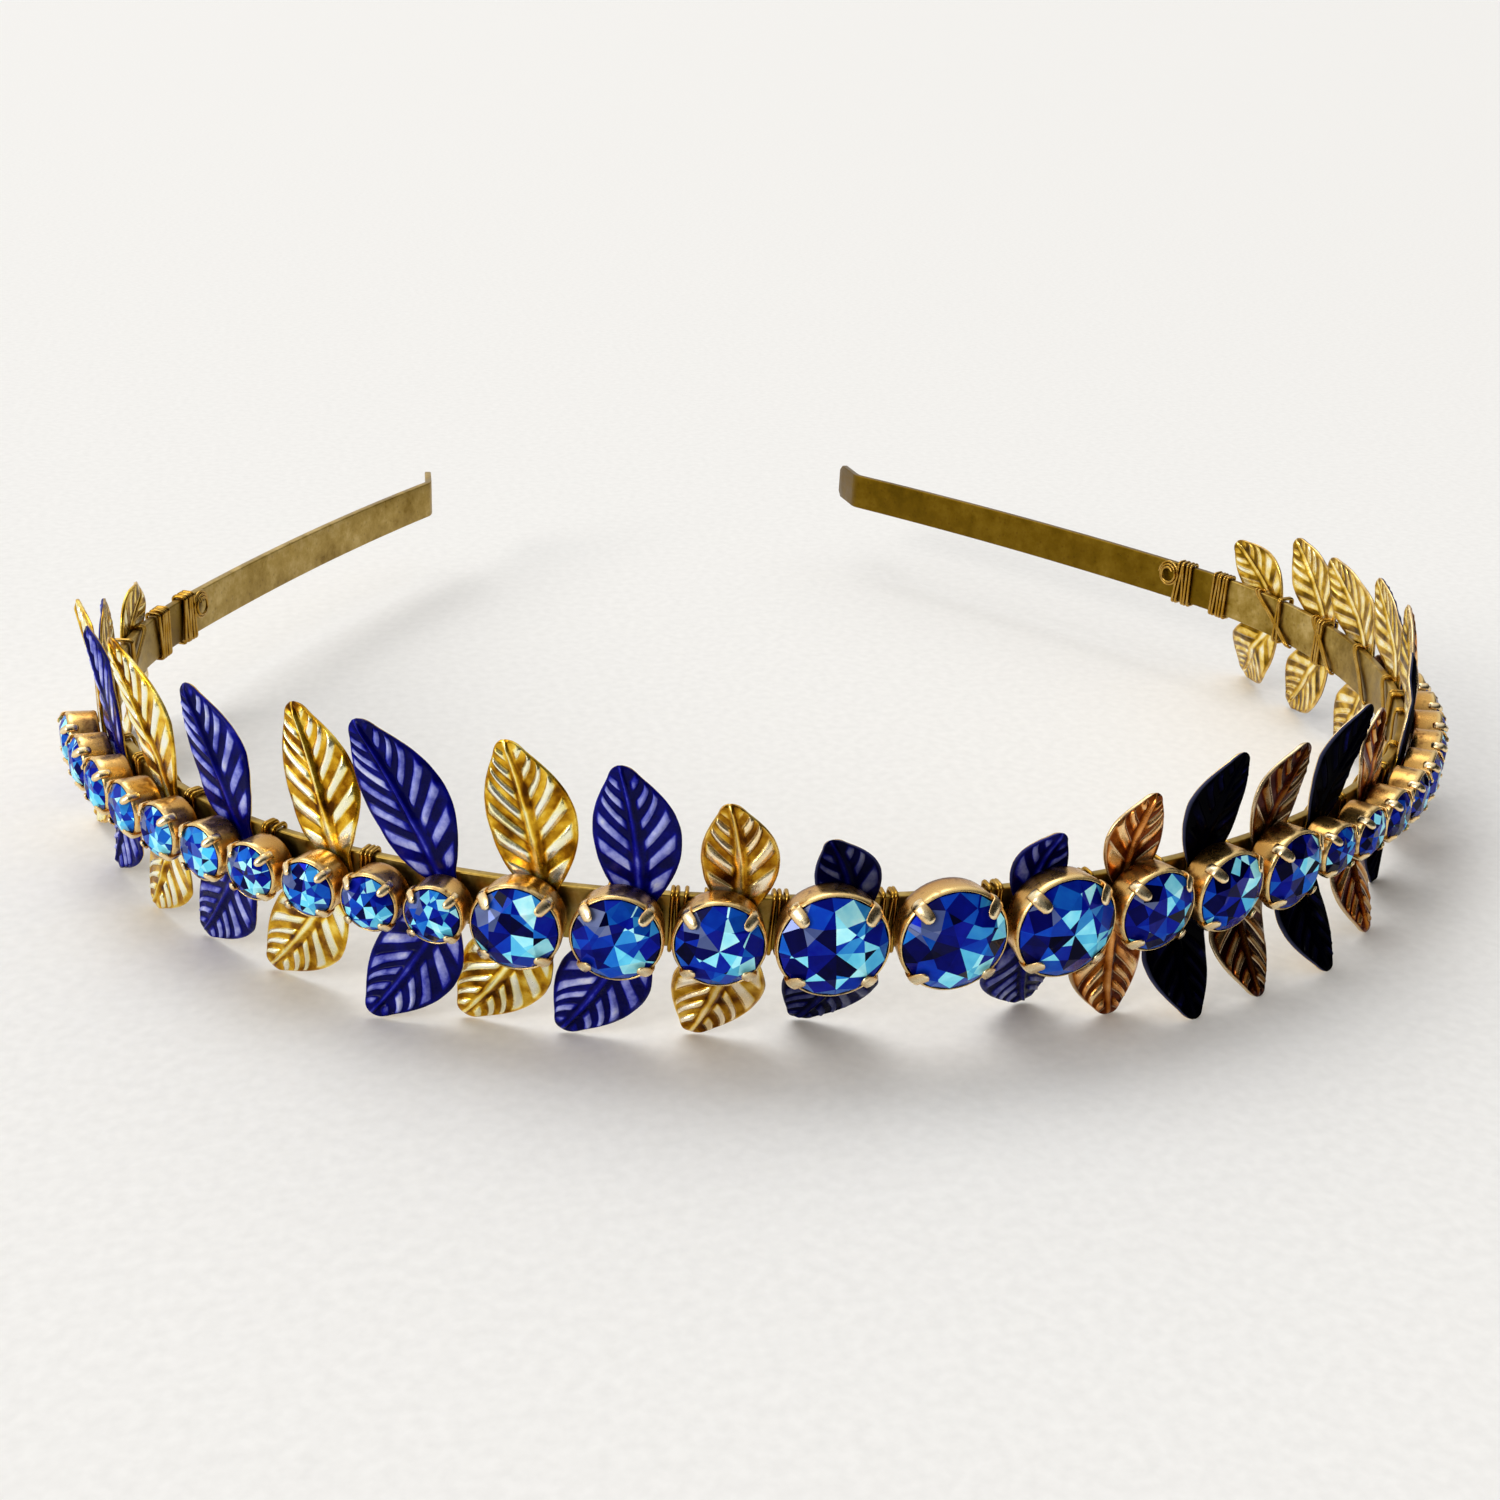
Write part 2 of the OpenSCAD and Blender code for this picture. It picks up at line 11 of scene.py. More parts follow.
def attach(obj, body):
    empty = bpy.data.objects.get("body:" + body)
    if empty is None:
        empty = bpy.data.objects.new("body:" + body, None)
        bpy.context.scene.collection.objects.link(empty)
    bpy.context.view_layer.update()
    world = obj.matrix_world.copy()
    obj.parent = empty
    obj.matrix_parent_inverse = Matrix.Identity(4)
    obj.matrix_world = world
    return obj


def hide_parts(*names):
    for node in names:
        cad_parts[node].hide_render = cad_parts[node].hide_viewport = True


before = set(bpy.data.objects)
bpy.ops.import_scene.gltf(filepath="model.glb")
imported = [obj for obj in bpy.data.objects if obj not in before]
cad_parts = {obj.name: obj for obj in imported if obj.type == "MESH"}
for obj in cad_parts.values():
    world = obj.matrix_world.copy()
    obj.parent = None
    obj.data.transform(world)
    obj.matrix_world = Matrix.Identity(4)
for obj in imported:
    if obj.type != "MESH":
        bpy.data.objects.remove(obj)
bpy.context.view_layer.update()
mm = 0.001
print("frame loaded:", len(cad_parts), "nodes")


# Small tools

def linearColour(code):
    parts = [int(code[k:k + 2], 16) / 255 for k in (1, 3, 5)]
    return [c / 12.92 if c <= 0.04045 else ((c + 0.055) / 1.055) ** 2.4 for c in parts] + [1.0]


def fill(node, inputs):
    # Links or sets a node's inputs, given by name or in their order, with colours as hex codes
    for key, value in inputs.items() if isinstance(inputs, dict) else enumerate(inputs):
        if isinstance(value, bpy.types.NodeSocket):
            node.id_data.links.new(value, node.inputs[key])
        else:
            node.inputs[key].default_value = linearColour(value) if str(value)[0] == "#" else value


def addNode(tree, kind, inputs=(), how=None, out=0, steps=(), **settings):
    # Adds a node with its settings and colour steps, fills its inputs and gives one of its outputs
    families = ("ShaderNode", "GeometryNode", "FunctionNode", "")
    node = tree.nodes.new(next(family + kind for family in families if hasattr(bpy.types, family + kind)))
    if how:
        node.operation = how
    for name, value in settings.items():
        setattr(node, name, value)
    for step in range(2, len(steps)):
        node.color_ramp.elements.new(0.5)
    for k, (place, code) in enumerate(dict(steps).items()):
        node.color_ramp.elements[k].position = place
        node.color_ramp.elements[k].color = linearColour(code)
    fill(node, inputs)
    return node.outputs[out] if len(node.outputs) else node


colourMix = {"out": 2, "data_type": "RGBA"}


def perMetre(sizeMm):
    return 1.0 / (sizeMm * mm)  # noise scale whose features are about that size


def newMaterial(name, *noises):
    # A material, its node adder, shader, coordinates, and a noise for each (size in mm, detail, roughness)
    material = bpy.data.materials.new(name)
    material.use_nodes = True
    add = partial(addNode, material.node_tree)
    coords = add("TexCoord", out="Object")
    fields = [add("TexNoise", {"Vector": coords, "Scale": perMetre(size), "Detail": detail,
                               "Roughness": rough}) for size, detail, rough in noises]
    return material, add, material.node_tree.nodes["Principled BSDF"], coords, *fields


def placeObject(name, data):
    piece = bpy.data.objects.new(name, data)
    bpy.context.scene.collection.objects.link(piece)
    return piece


def meshObject(name, points, faces, materials):
    mesh = bpy.data.meshes.new(name)
    mesh.from_pydata([tuple(p) for p in points], [], faces)
    for material in materials:
        mesh.materials.append(material)
    mesh.polygons.foreach_set("use_smooth", [True] * len(faces))
    mesh.update()
    return placeObject(name, mesh)


def markPoints(mesh, marks):
    # One float attribute on the points for each named list
    for label, values in marks.items():
        mesh.attributes.new(label, "FLOAT", "POINT").data.foreach_set("value", values)


def ringFaces(rings):
    # Faces from each ring of point numbers to the next, where a pole repeats its one number
    faces = []
    for a, b in zip(rings, rings[1:]):
        for k in range(len(a)):
            n = (k + 1) % len(a)
            faces.append(tuple(dict.fromkeys((a[k], a[n], b[n], b[k]))))
    return faces


def dress(piece, node):
    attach(piece, "root")
    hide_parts(node)


def smoothStep(x):
    x = np.clip(x, 0.0, 1.0)
    return x * x * (3 - 2 * x)


# Camera, at the photograph's angle

cameraView = dict(
    target=(-7.67, -29.59, 12.2), azimuth=-14.98, elevation=23.44,
    distance=190.6, roll=3.08, fieldOfView=44.28, near=0.01, far=120,
)


def setCamera(view):
    azimuth, elevation, roll = (math.radians(view[k]) for k in ("azimuth", "elevation", "roll"))
    lens = bpy.data.cameras.new("viewCamera")
    lens.angle = math.radians(view["fieldOfView"])
    lens.clip_start, lens.clip_end = view["near"], view["far"]
    facing = (Matrix.Rotation(azimuth, 4, "Z") @ Matrix.Rotation(math.pi / 2 - elevation, 4, "X")
              @ Matrix.Rotation(roll, 4, "Z"))
    camera = placeObject("viewCamera", lens)
    camera.matrix_world = (Matrix.Translation(Vector(view["target"]) * mm) @ facing
                           @ Matrix.Translation((0, 0, view["distance"] * mm)))
    bpy.context.scene.camera = camera


setCamera(cameraView)


# Plan of the band, the same rule as in the CAD source

band = dict(
    width=5.0, thick=0.9, lift=12.2,
    frontRadius=85.6, frontArc=36.0,
    sideRadius=52.4, sideArc=83.0,
    armRadius=346.0, armLength=58.0,
    tabBendRadius=2.4, tabBend=35.0, tabLength=5.6, tabCorner=0.8, cornerCut=0.92,
    depthShift=-66.8193,  # moves the middle of the whole depth to the origin
    edgeRound=0.16, edgeSides=3,
    step=0.6, bendSteps=10, tabSteps=6, cornerSteps=8,
)
bandBends = [
    (band["frontRadius"], math.radians(band["frontArc"])),
    (band["sideRadius"], math.radians(band["sideArc"])),
    (band["armRadius"], band["armLength"] / band["armRadius"]),
    (band["tabBendRadius"], -math.radians(band["tabBend"]))]
frontEnd, sideEnd, armEnd, bendEnd = np.cumsum([radius * abs(turn) for radius, turn in bandBends])
bandEnd = bendEnd + band["tabLength"]


def arcFrom(start, radius, turn):
    side = math.copysign(radius, turn)
    return (start[0] + side * (math.sin(start[2] + turn) - math.sin(start[2])),
            start[1] - side * (math.cos(start[2] + turn) - math.cos(start[2])), start[2] + turn)


def bandPlan(s):
    # Place and heading of the band's middle line, s from its centre
    if s < 0:
        x, y, heading = bandPlan(-s)
        return -x, y, -heading
    place = (0.0, 0.0, 0.0)
    for radius, turn in bandBends:
        if s <= radius * abs(turn):
            return arcFrom(place, radius, math.copysign(s / radius, turn))
        place = arcFrom(place, radius, turn)
        s -= radius * abs(turn)
    return place[0] + s * math.cos(place[2]), place[1] + s * math.sin(place[2]), place[2]


def fromBand(s, points):
    # Points as along the band, toward the head and up, from its middle line at s, to metres in the frame
    x, y, heading = bandPlan(s)
    along, inward, height = np.moveaxis(np.asarray(points, float), -1, 0)
    c, d = math.cos(heading), math.sin(heading)
    back = y + band["depthShift"]
    placed = (x + c * along - d * inward, back + d * along + c * inward, band["lift"] + height)
    return np.stack(placed, axis=-1) * mm


# Stone stations, the same rule as in the CAD source

stones = dict(
    sizes=(9.15, 7.35, 4.85), eachSide=(1, 3, 10),  # large, medium, small
    crownShare=0.14, tableShare=0.56, kiteShare=0.80, girdle=0.2,
    facets=8, turnEach=17.0, fuller=0.05,
    pavilionLines=4, tableCuts=3,  # lines of the foil facets that show through the crown
    # directions in each stone of its painted pale reflection, painted rim reflection and two painted
    # highlights; then the foil tones, the tones of the painted highlights, and the sides' tone
    paleReflectionToward=142.0, rimToward=-82.0, brightToward=(-42.0, 52.0), leanOfFoil=0.3, seed=11,
    tones=(0.0, 0.06, 0.16, 0.24, 0.3, 0.36, 0.42, 0.52),
    brightTones=(0.78, 0.84, 0.9), mixedTones=(0.3, 0.48, 0.66, 0.92), sideTone=0.2,
)
cups = dict(
    height=3.0, wall=0.25, stoneGap=0.1, baseShare=0.94, rimGap=0.15, seatOut=1.3,
    girdleDrop=0.1, seatWidth=0.35, rimHeight=0.7, lipSlope=0.32, footRound=0.22,
    turnSides=56,
    prongs=4, prongWidths=(1.25, 1.05, 0.8), prongThick=0.3, prongReach=0.22,
    prongFoot=1.1, prongSlope=0.5, prongOut=0.24, prongSink=0.1, prongCrown=0.45,
)
stonesEachSide = sum(stones["eachSide"])


def sizeClass(number):
    return sum(abs(number) > last for last in np.cumsum(stones["eachSide"])[:2])


def stoneSize(number):
    return stones["sizes"][sizeClass(number)]


def cupRadius(size):
    return size / 2 + cups["wall"] + cups["stoneGap"]


def cupSize(number):
    return 2 * cupRadius(stoneSize(number))


stonePlaces = [0.0]
for number in range(1, stonesEachSide + 1):
    stonePlaces.append(stonePlaces[-1] + (cupSize(number - 1) + cupSize(number)) / 2 + cups["rimGap"])


def stonePlace(number):
    return math.copysign(stonePlaces[abs(number)], number)


girdleHeight = cups["height"] - cups["girdleDrop"]
pavilionHeight = girdleHeight - cups["wall"] - cups["stoneGap"]


# Materials

def makeWornBrass():
    # Rolled brass strip, aged and rubbed by hand: khaki brown with paler patches and fine rolling lines.
    material, add, shader, coords, cloud, patch = newMaterial(
        "wornBrassStrip", (9, 6.0, 0.62), (2.6, 5.0, 0.7))
    along = add("Attribute", out="Fac", attribute_name="alongBand")
    specks = add("TexVoronoi", {"Vector": coords, "Scale": perMetre(0.9)})
    height = add("SeparateXYZ", [coords], out="Z")
    drawn = add("CombineXYZ", [add("Math", [along, 0.12], "MULTIPLY"), height])
    lines = add("TexNoise", {"Vector": drawn, "Scale": perMetre(0.35), "Detail": 3.0})
    reach = add("Math", [along], "ABSOLUTE")
    rubbed = add("MapRange", [reach, 129 * mm, 121 * mm, 0.0, 0.34])  # paler where the leaves are wired on
    fairer = add("MapRange", [along, -125 * mm, -135 * mm, 0.0, 0.4])  # paler toward the end of the left arm
    worn = add("MapRange", [add("Math", [cloud, patch]), 0.72, 1.28, 0.1, 0.6])
    tone = add("Math", [add("Math", [worn, rubbed]), fairer], use_clamp=True)
    base = add("ValToRGB", [tone], steps={
        0.0: "#544008", 0.3: "#6c510c", 0.55: "#7f6318", 0.78: "#a88c46", 1.0: "#ccb274"})
    spots = add("MapRange", [specks, 0.0, 0.28, 0.45, 0.0])
    relief = add("Math", [lines, patch])
    fill(shader, {
        "Metallic": 1.0, "Base Color": add("Mix", {0: spots, 6: base, 7: "#4a3009"}, **colourMix),
        "Roughness": add("MapRange", [patch, 0.3, 0.7, 0.26, 0.5]),
        "Normal": add("Bump", {"Height": relief, "Strength": 0.35, "Distance": 0.06 * mm})})
    return material


def makeGold(name, steps, mark, rough, grainMm, bumpMm, stain="#7a4a12", stainShare=0.5):
    # Gold-plated brass: the mark runs from foot or hollow to rim or ridge, on the cups and prongs a painted
    # shade low down and a painted highlight at the lip and along the prongs' crowns; the plating has stains
    # at random.
    material, add, shader, _, cloud, grain = newMaterial(name, (grainMm * 4, 5.0, 0.5), (grainMm, 4.0, 0.6))
    shifted = add("Math", [cloud, 0.4, -0.2], "MULTIPLY_ADD")
    tone = add("Math", [add("Attribute", out="Fac", attribute_name=mark), shifted], use_clamp=True)
    base = add("ValToRGB", [tone], steps=steps)
    stains = add("MapRange", [grain, 0.56, 0.74, 0.0, stainShare])
    fill(shader, {
        "Metallic": 1.0, "Base Color": add("Mix", {0: stains, 6: base, 7: stain}, **colourMix),
        "Roughness": add("MapRange", [grain, 0.3, 0.7, *rough]),
        "Normal": add("Bump", {"Height": grain, "Strength": 0.4, "Distance": bumpMm * mm})})
    return material


# Raised bars between the side veins of a leaf, shared by its relief and its colours
veins = dict(pitch=2.0, rise=0.3, barShare=0.52, angle=43.0, tipSlant=0.62)


def veinPattern(add):
    # Raised bars between the side veins, from each leaf's own rows, and the thin painted highlight line on
    # their upper side
    row, room = (add("Attribute", out="Fac", attribute_name=mark) for mark in ("bladeRow", "veinRoom"))
    middle = add("Math", [add("Math", [row], "FRACT"), 0.5], "SUBTRACT")
    share = veins["barShare"] / 2
    edge = add("Math", [middle, share + 0.02], "SUBTRACT")
    shown = []
    for off, fades, full in ((middle, share + 0.06, share - 0.08), (edge, 0.075, 0.02)):
        apart = add("Math", [off], "ABSOLUTE")
        soft = add("MapRange", [apart, fades, full, 0.0, 1.0], interpolation_type="SMOOTHSTEP")
        shown.append(add("Math", [soft, room], "MULTIPLY"))
    return shown


def newLeafMaterial(name, noises, barWeight, cloudWeight, lower, grainWeight, bumpStrength, bumpMm):
    # What both leaf finishes share: a level from hollow to ridge (painted shade and some patina low, painted
    # highlight high), the leaf's marks, and a bump
    material, add, shader, _, cloud, grain = newMaterial(name, *noises)
    relief, paintedShade, rim = (
        add("Attribute", out="Fac", attribute_name=mark) for mark in ("relief", "paintedShade", "paintedEdgeGlint"))
    bar, line = veinPattern(add)
    level = add("Math", [bar, barWeight, relief], "MULTIPLY_ADD")
    lowered = add("Math", [level, -lower])
    level = add("Math", [cloud, cloudWeight, lowered], "MULTIPLY_ADD", use_clamp=True)
    height = add("Math", [grain, grainWeight, bar], "MULTIPLY_ADD")
    bump = add("Bump", {"Height": height, "Strength": bumpStrength, "Distance": bumpMm * mm})
    return material, add, shader, level, paintedShade, rim, line, grain, bump


def makeStampedGold(name, brightSteps, darkSteps, barWeight):
    # Gold-plated stamped brass: raised bars painted bright up to a near-white highlight over olive hollows,
    # partly patina and partly painted shade; painted shade turns some leaves copper brown or near black,
    # with thin painted glints along the bars and edges.
    material, add, shader, level, paintedShade, rim, line, grain, bump = newLeafMaterial(
        name, ((2.2, 5.0, 0.5), (0.45, 4.0, 0.6)), barWeight, 1.15, 0.58, 0.35, 0.8, 0.09)
    bright, dark = (add("ValToRGB", [level], steps=steps) for steps in (brightSteps, darkSteps))
    black = add("Math", [paintedShade, -1.0], use_clamp=True)
    # painted shade, deepened to near black on the darkest leaves
    nearBlackShade = add("Mix", {0: black, 6: dark, 7: "#0a0302"}, **colourMix)
    # painted glints along the bars' upper sides and the leaf edges
    edges = add("Math", [add("Math", [line, rim], "MAXIMUM"), 0.7], "MULTIPLY")
    shadeWithGlints = add("Mix", {0: edges, 6: nearBlackShade, 7: "#f6dcae"}, **colourMix)
    share = add("Math", [paintedShade, 0.0], use_clamp=True)
    fill(shader, {
        "Base Color": add("Mix", {0: share, 6: bright, 7: shadeWithGlints}, **colourMix), "Metallic": 0.82,
        "Specular IOR Level": 0.1, "Roughness": add("MapRange", [grain, 0.3, 0.7, 0.13, 0.3]),
        "Normal": bump})
    return material


def makeBlueEnamel():
    # Cold enamel brushed on stamped brass: deep ultramarine, pale lavender over the bars, partly where it is
    # thin and partly painted highlight; painted shade turns some leaves near black, with a faint painted
    # glint along their edges.
    material, add, shader, level, paintedShade, rim, _, grain, bump = newLeafMaterial(
        "ultramarineEnamel", ((2.6, 5.0, 0.6), (0.5, 4.0, 0.6)), 0.64, 1.3, 0.83, 0.3, 0.7, 0.08)
    litEnamel = add("ValToRGB", [level], steps={
        0.0: "#020244", 0.25: "#050774", 0.42: "#0e1190", 0.56: "#363cb2", 0.7: "#747bd6",
        0.86: "#abb2f4", 1.0: "#e0e4ff"})
    deep = add("ValToRGB", [level], steps={
        0.0: "#000003", 0.6: "#010108", 0.88: "#03031a", 1.0: "#0c0d40"})
    # painted glint along the leaf edges
    edges = add("Math", [rim, 0.35], "MULTIPLY")
    shadeWithGlints = add("Mix", {0: edges, 6: deep, 7: "#6a6f9c"}, **colourMix)
    fill(shader, {
        "Base Color": add("Mix", {0: paintedShade, 6: litEnamel, 7: shadeWithGlints}, **colourMix),
        "Roughness": add("MapRange", [grain, 0.3, 0.7, 0.2, 0.4]),
        "Specular IOR Level": add("MapRange", [paintedShade, 0.0, 1.0, 0.04, 0.0]),
        "Coat Weight": add("MapRange", [paintedShade, 0.0, 1.0, 0.08, 0.03]), "Coat Roughness": 0.07,
        "Normal": bump, "Coat Normal": bump})
    return material


def makeSapphireGlass():
    # Foil-backed cut glass: each foil facet behind the clear crown has its own tone of blue, with two
    # painted highlights toward fixed sides and painted shade toward the right end, and some crown facets
    # show only a painted pale reflection of the room; the brightest facets glow a little as painted light.
    material, add, shader, _, cloud = newMaterial("foiledSapphireGlass", (1.3, 3.0, 0.5))
    tone, veil = (add("Attribute", out="Fac", attribute_name=mark) for mark in ("facetTone", "facetPaleReflection"))
    lean = add("Attribute", out="Vector", attribute_name="facetLean")
    lowered = add("Math", [tone, -0.08])
    level = add("Math", [cloud, 0.16, lowered], "MULTIPLY_ADD", use_clamp=True)
    base = add("ValToRGB", [level], steps={
        0.0: "#010122", 0.15: "#03055c", 0.3: "#0818a4", 0.44: "#0e44c8", 0.56: "#1a74e2",
        0.7: "#40aaf4", 0.83: "#6cdcfd", 0.93: "#b0f6ff", 1.0: "#f8ffff"})
    pale = add("ValToRGB", [level], steps={
        0.0: "#2e3f84", 0.4: "#5f6fa6", 0.7: "#7f88b0", 1.0: "#a9b4d2"})
    leant = add("VectorMath", [add("NewGeometry", out="Normal"), lean], "ADD")
    fill(shader, {
        "Base Color": add("Mix", {0: veil, 6: base, 7: pale}, **colourMix), "Metallic": 0.3,
        "Roughness": add("MapRange", [cloud, 0.3, 0.7, 0.14, 0.26]), "Specular IOR Level": 0.03,
        "Coat Weight": 0.06, "Coat Roughness": 0.02,
        # painted glow: the brightest facets give off a little light of their own
        "Emission Color": base, "Emission Strength": add("MapRange", [level, 0.68, 1.0, 0.0, 0.3]),
        "Normal": add("VectorMath", [leant], "NORMALIZE")})
    return material


wornBrass = makeWornBrass()
leafGold = makeStampedGold(
    "stampedLeafGold",
    {0.0: "#4c2802", 0.14: "#945e06", 0.3: "#e0ac26", 0.44: "#ffdc5c", 0.62: "#fff6ae",
     1.0: "#fffff0"},
    {0.0: "#280401", 0.28: "#6c1803", 0.52: "#ac5010", 0.78: "#e2923a", 1.0: "#ffd898"}, 0.58)
bareSteps = {0.0: "#3a2803", 0.2: "#84600c", 0.38: "#d6a830", 0.56: "#f8dc7c", 0.8: "#fffbe0"}
leafBackGold = makeStampedGold("bareLeafGold", bareSteps, bareSteps, 0.3)
settingGold = makeGold(
    "platedCupGold",
    {0.0: "#5a3010", 0.3: "#b4803a", 0.55: "#dcae64", 0.8: "#f2d08c", 1.0: "#ecc888"},
    "paintedLightLevel", (0.2, 0.36), 1.1, 0.06, "#5e240a", 0.9)
prongGold = makeGold(
    "burnishedProngGold", {0.0: "#7a4a18", 0.35: "#e2b062", 1.0: "#ffeec4"},
    "paintedLightLevel", (0.2, 0.34), 0.4, 0.02, "#a87a40", 0.25)
wireGold = makeGold(
    "drawnBrassWire", {0.0: "#4e3608", 0.5: "#a67c24", 1.0: "#f2d78c"},
    "wireLevel", (0.16, 0.3), 0.4, 0.03)
blueEnamel = makeBlueEnamel()
sapphireGlass = makeSapphireGlass()
print("materials made")


# Geometry Nodes: a tree from named inputs, and its result as a plain mesh

def newTree(name, **kinds):
    # A tree, its node adder and its inputs, whose names are given for each kind of socket
    tree = bpy.data.node_groups.new(name, "GeometryNodeTree")
    tree.is_modifier = True
    for way in ("INPUT", "OUTPUT"):
        tree.interface.new_socket(name="Geometry", in_out=way, socket_type="NodeSocketGeometry")
    for kind, labels in kinds.items():
        for label in labels:
            tree.interface.new_socket(name=label, in_out="INPUT", socket_type="NodeSocket" + kind)
    return tree, partial(addNode, tree), addNode(tree, "NodeGroupInput").node.outputs


def endTree(add, geometry, material):
    real = add("RealizeInstances", [geometry])
    add("NodeGroupOutput", [add("SetMaterial", {"Geometry": real, "Material": material})])


def runTree(tree, source, name, values):
    sockets = {item.name: item.identifier for item in tree.interface.items_tree if item.in_out == "INPUT"}
    modifier = source.modifiers.new(tree.name, "NODES")
    modifier.node_group = tree
    for label, value in values.items():
        modifier[sockets[label]] = value
    graph = bpy.context.evaluated_depsgraph_get()
    shaped = source.evaluated_get(graph)
    mesh = bpy.data.meshes.new_from_object(shaped, preserve_all_data_layers=True, depsgraph=graph)
    source.modifiers.clear()
    bpy.data.objects.remove(source)
    mesh.name = name
    return placeObject(name, mesh)


def lineObject(name, runs, marks):
    # Polylines as a mesh of edges, with a float mark on the points for each named list
    points, edges = [], []
    for run in runs:
        edges += [(len(points) + k, len(points) + k + 1) for k in range(len(run) - 1)]
        points += [tuple(p) for p in run]
    mesh = bpy.data.meshes.new(name)
    mesh.from_pydata(points, edges, [])
    markPoints(mesh, marks)
    return placeObject(name, mesh)


# Headband: a rounded strip profile carried along the plan, lower toward the clipped corners of its tabs

def makeStripTree():
    tree, add, given = newTree("bandStrip", Float=("Width", "Thickness", "Edge round", "Lift"),
                               Int=("Edge sides",), Material=("Material",))
    path = add("MeshToCurve", [given["Geometry"]])
    upright = add("SetCurveNormal", [path], mode="Z_UP")
    profile = add("CurvePrimitiveQuadrilateral", {"Width": given["Thickness"], "Height": given["Width"]})
    rounded = add("FilletCurve", {
        "Curve": profile, "Radius": given["Edge round"], "Count": given["Edge sides"]}, mode="POLY")
    swept = add("CurveToMesh", {"Curve": upright, "Profile Curve": rounded, "Fill Caps": True})
    x, y, z = add("SeparateXYZ", [add("InputPosition")]).node.outputs
    share = add("InputNamedAttribute", {"Name": "heightShare"}, data_type="FLOAT")
    rise = add("Math", [z, given["Lift"]], "SUBTRACT")
    height = add("Math", [rise, share, given["Lift"]], "MULTIPLY_ADD")
    shaped = add("SetPosition", {"Geometry": swept, "Position": add("CombineXYZ", [x, y, height])})
    endTree(add, shaped, given["Material"])
    return tree


def makeHeadband():
    corner = band["tabCorner"]
    stops = [k * band["step"] for k in range(int(armEnd / band["step"]) + 1)]
    for start, end, count in (
            (armEnd, bendEnd, band["bendSteps"]), (bendEnd, bandEnd - corner, band["tabSteps"]),
            (bandEnd - corner, bandEnd, band["cornerSteps"])):
        stops += [start + (end - start) * k / count for k in range(1, count + 1)]
    stops = [-s for s in reversed(stops[1:])] + stops
    cut = 2 * band["cornerCut"] / band["width"]
    shares = [1 - cut * max(0.0, abs(s) - (bandEnd - corner)) for s in stops]
    line = [fromBand(s, (0, 0, 0)) for s in stops]
    source = lineObject("bandLine", [line], {"heightShare": shares, "alongBand": [s * mm for s in stops]})
    piece = runTree(makeStripTree(), source, "headbandStrip", {
        "Width": band["width"] * mm, "Thickness": band["thick"] * mm, "Edge round": band["edgeRound"] * mm,
        "Edge sides": band["edgeSides"], "Lift": band["lift"] * mm, "Material": wornBrass})
    piece.data.polygons.foreach_set("use_smooth", [True] * len(piece.data.polygons))
    dress(piece, "headband")


makeHeadband()
print("headband made")


# Cups and prongs: one of each size is shaped, then placed under every stone

def turnedCup(size):
    rim, inner = cupRadius(size), size / 2 + cups["stoneGap"]
    base, foot, wall = cups["baseShare"] * rim, cups["footRound"], cups["wall"]
    half, height, slope = wall / 2, cups["height"], cups["lipSlope"]
    shoulder, ledge = height - cups["rimHeight"], size / 2 - cups["seatWidth"]
    sunk = cups["seatWidth"] / (size / 2) * pavilionHeight + cups["stoneGap"]
    seat = girdleHeight - stones["girdle"] / 2 - sunk
    profile = [(0, 0), (base - 0.35, 0), (base - 0.1, 0.06), (base, foot)]
    profile += [(base + (rim - base) * t, foot + (shoulder - foot) * t) for t in (0.25, 0.5, 0.75)]
    profile += [(rim, shoulder), (rim, height - slope), (rim - half * 0.35, height - slope * 0.5),
                (rim - half * 1.2, height - 0.05), (rim - half * 1.6, height), (inner, height - 0.06),
                (inner, seat), (ledge, seat), (ledge, seat - wall), (base - wall, wall), (0, wall)]
    sides = cups["turnSides"]
    points, rings, paintedLevels = [], [], []
    for r, z in profile:
        count = sides if r else 1
        rings.append([len(points) + k % count for k in range(sides)])
        turns = [2 * math.pi * k / sides for k in range(count)]
        points += [(r * math.cos(a), r * math.sin(a), z) for a in turns]
        # painted light level: painted shade low on the wall, rising to a painted highlight at the lip,
        # darkest inside the cup
        paintedLevels += [(0.3 + 0.35 * z / height if z < height - slope else 0.85) if r >= inner else 0.0] * count
    return points, ringFaces(rings), paintedLevels


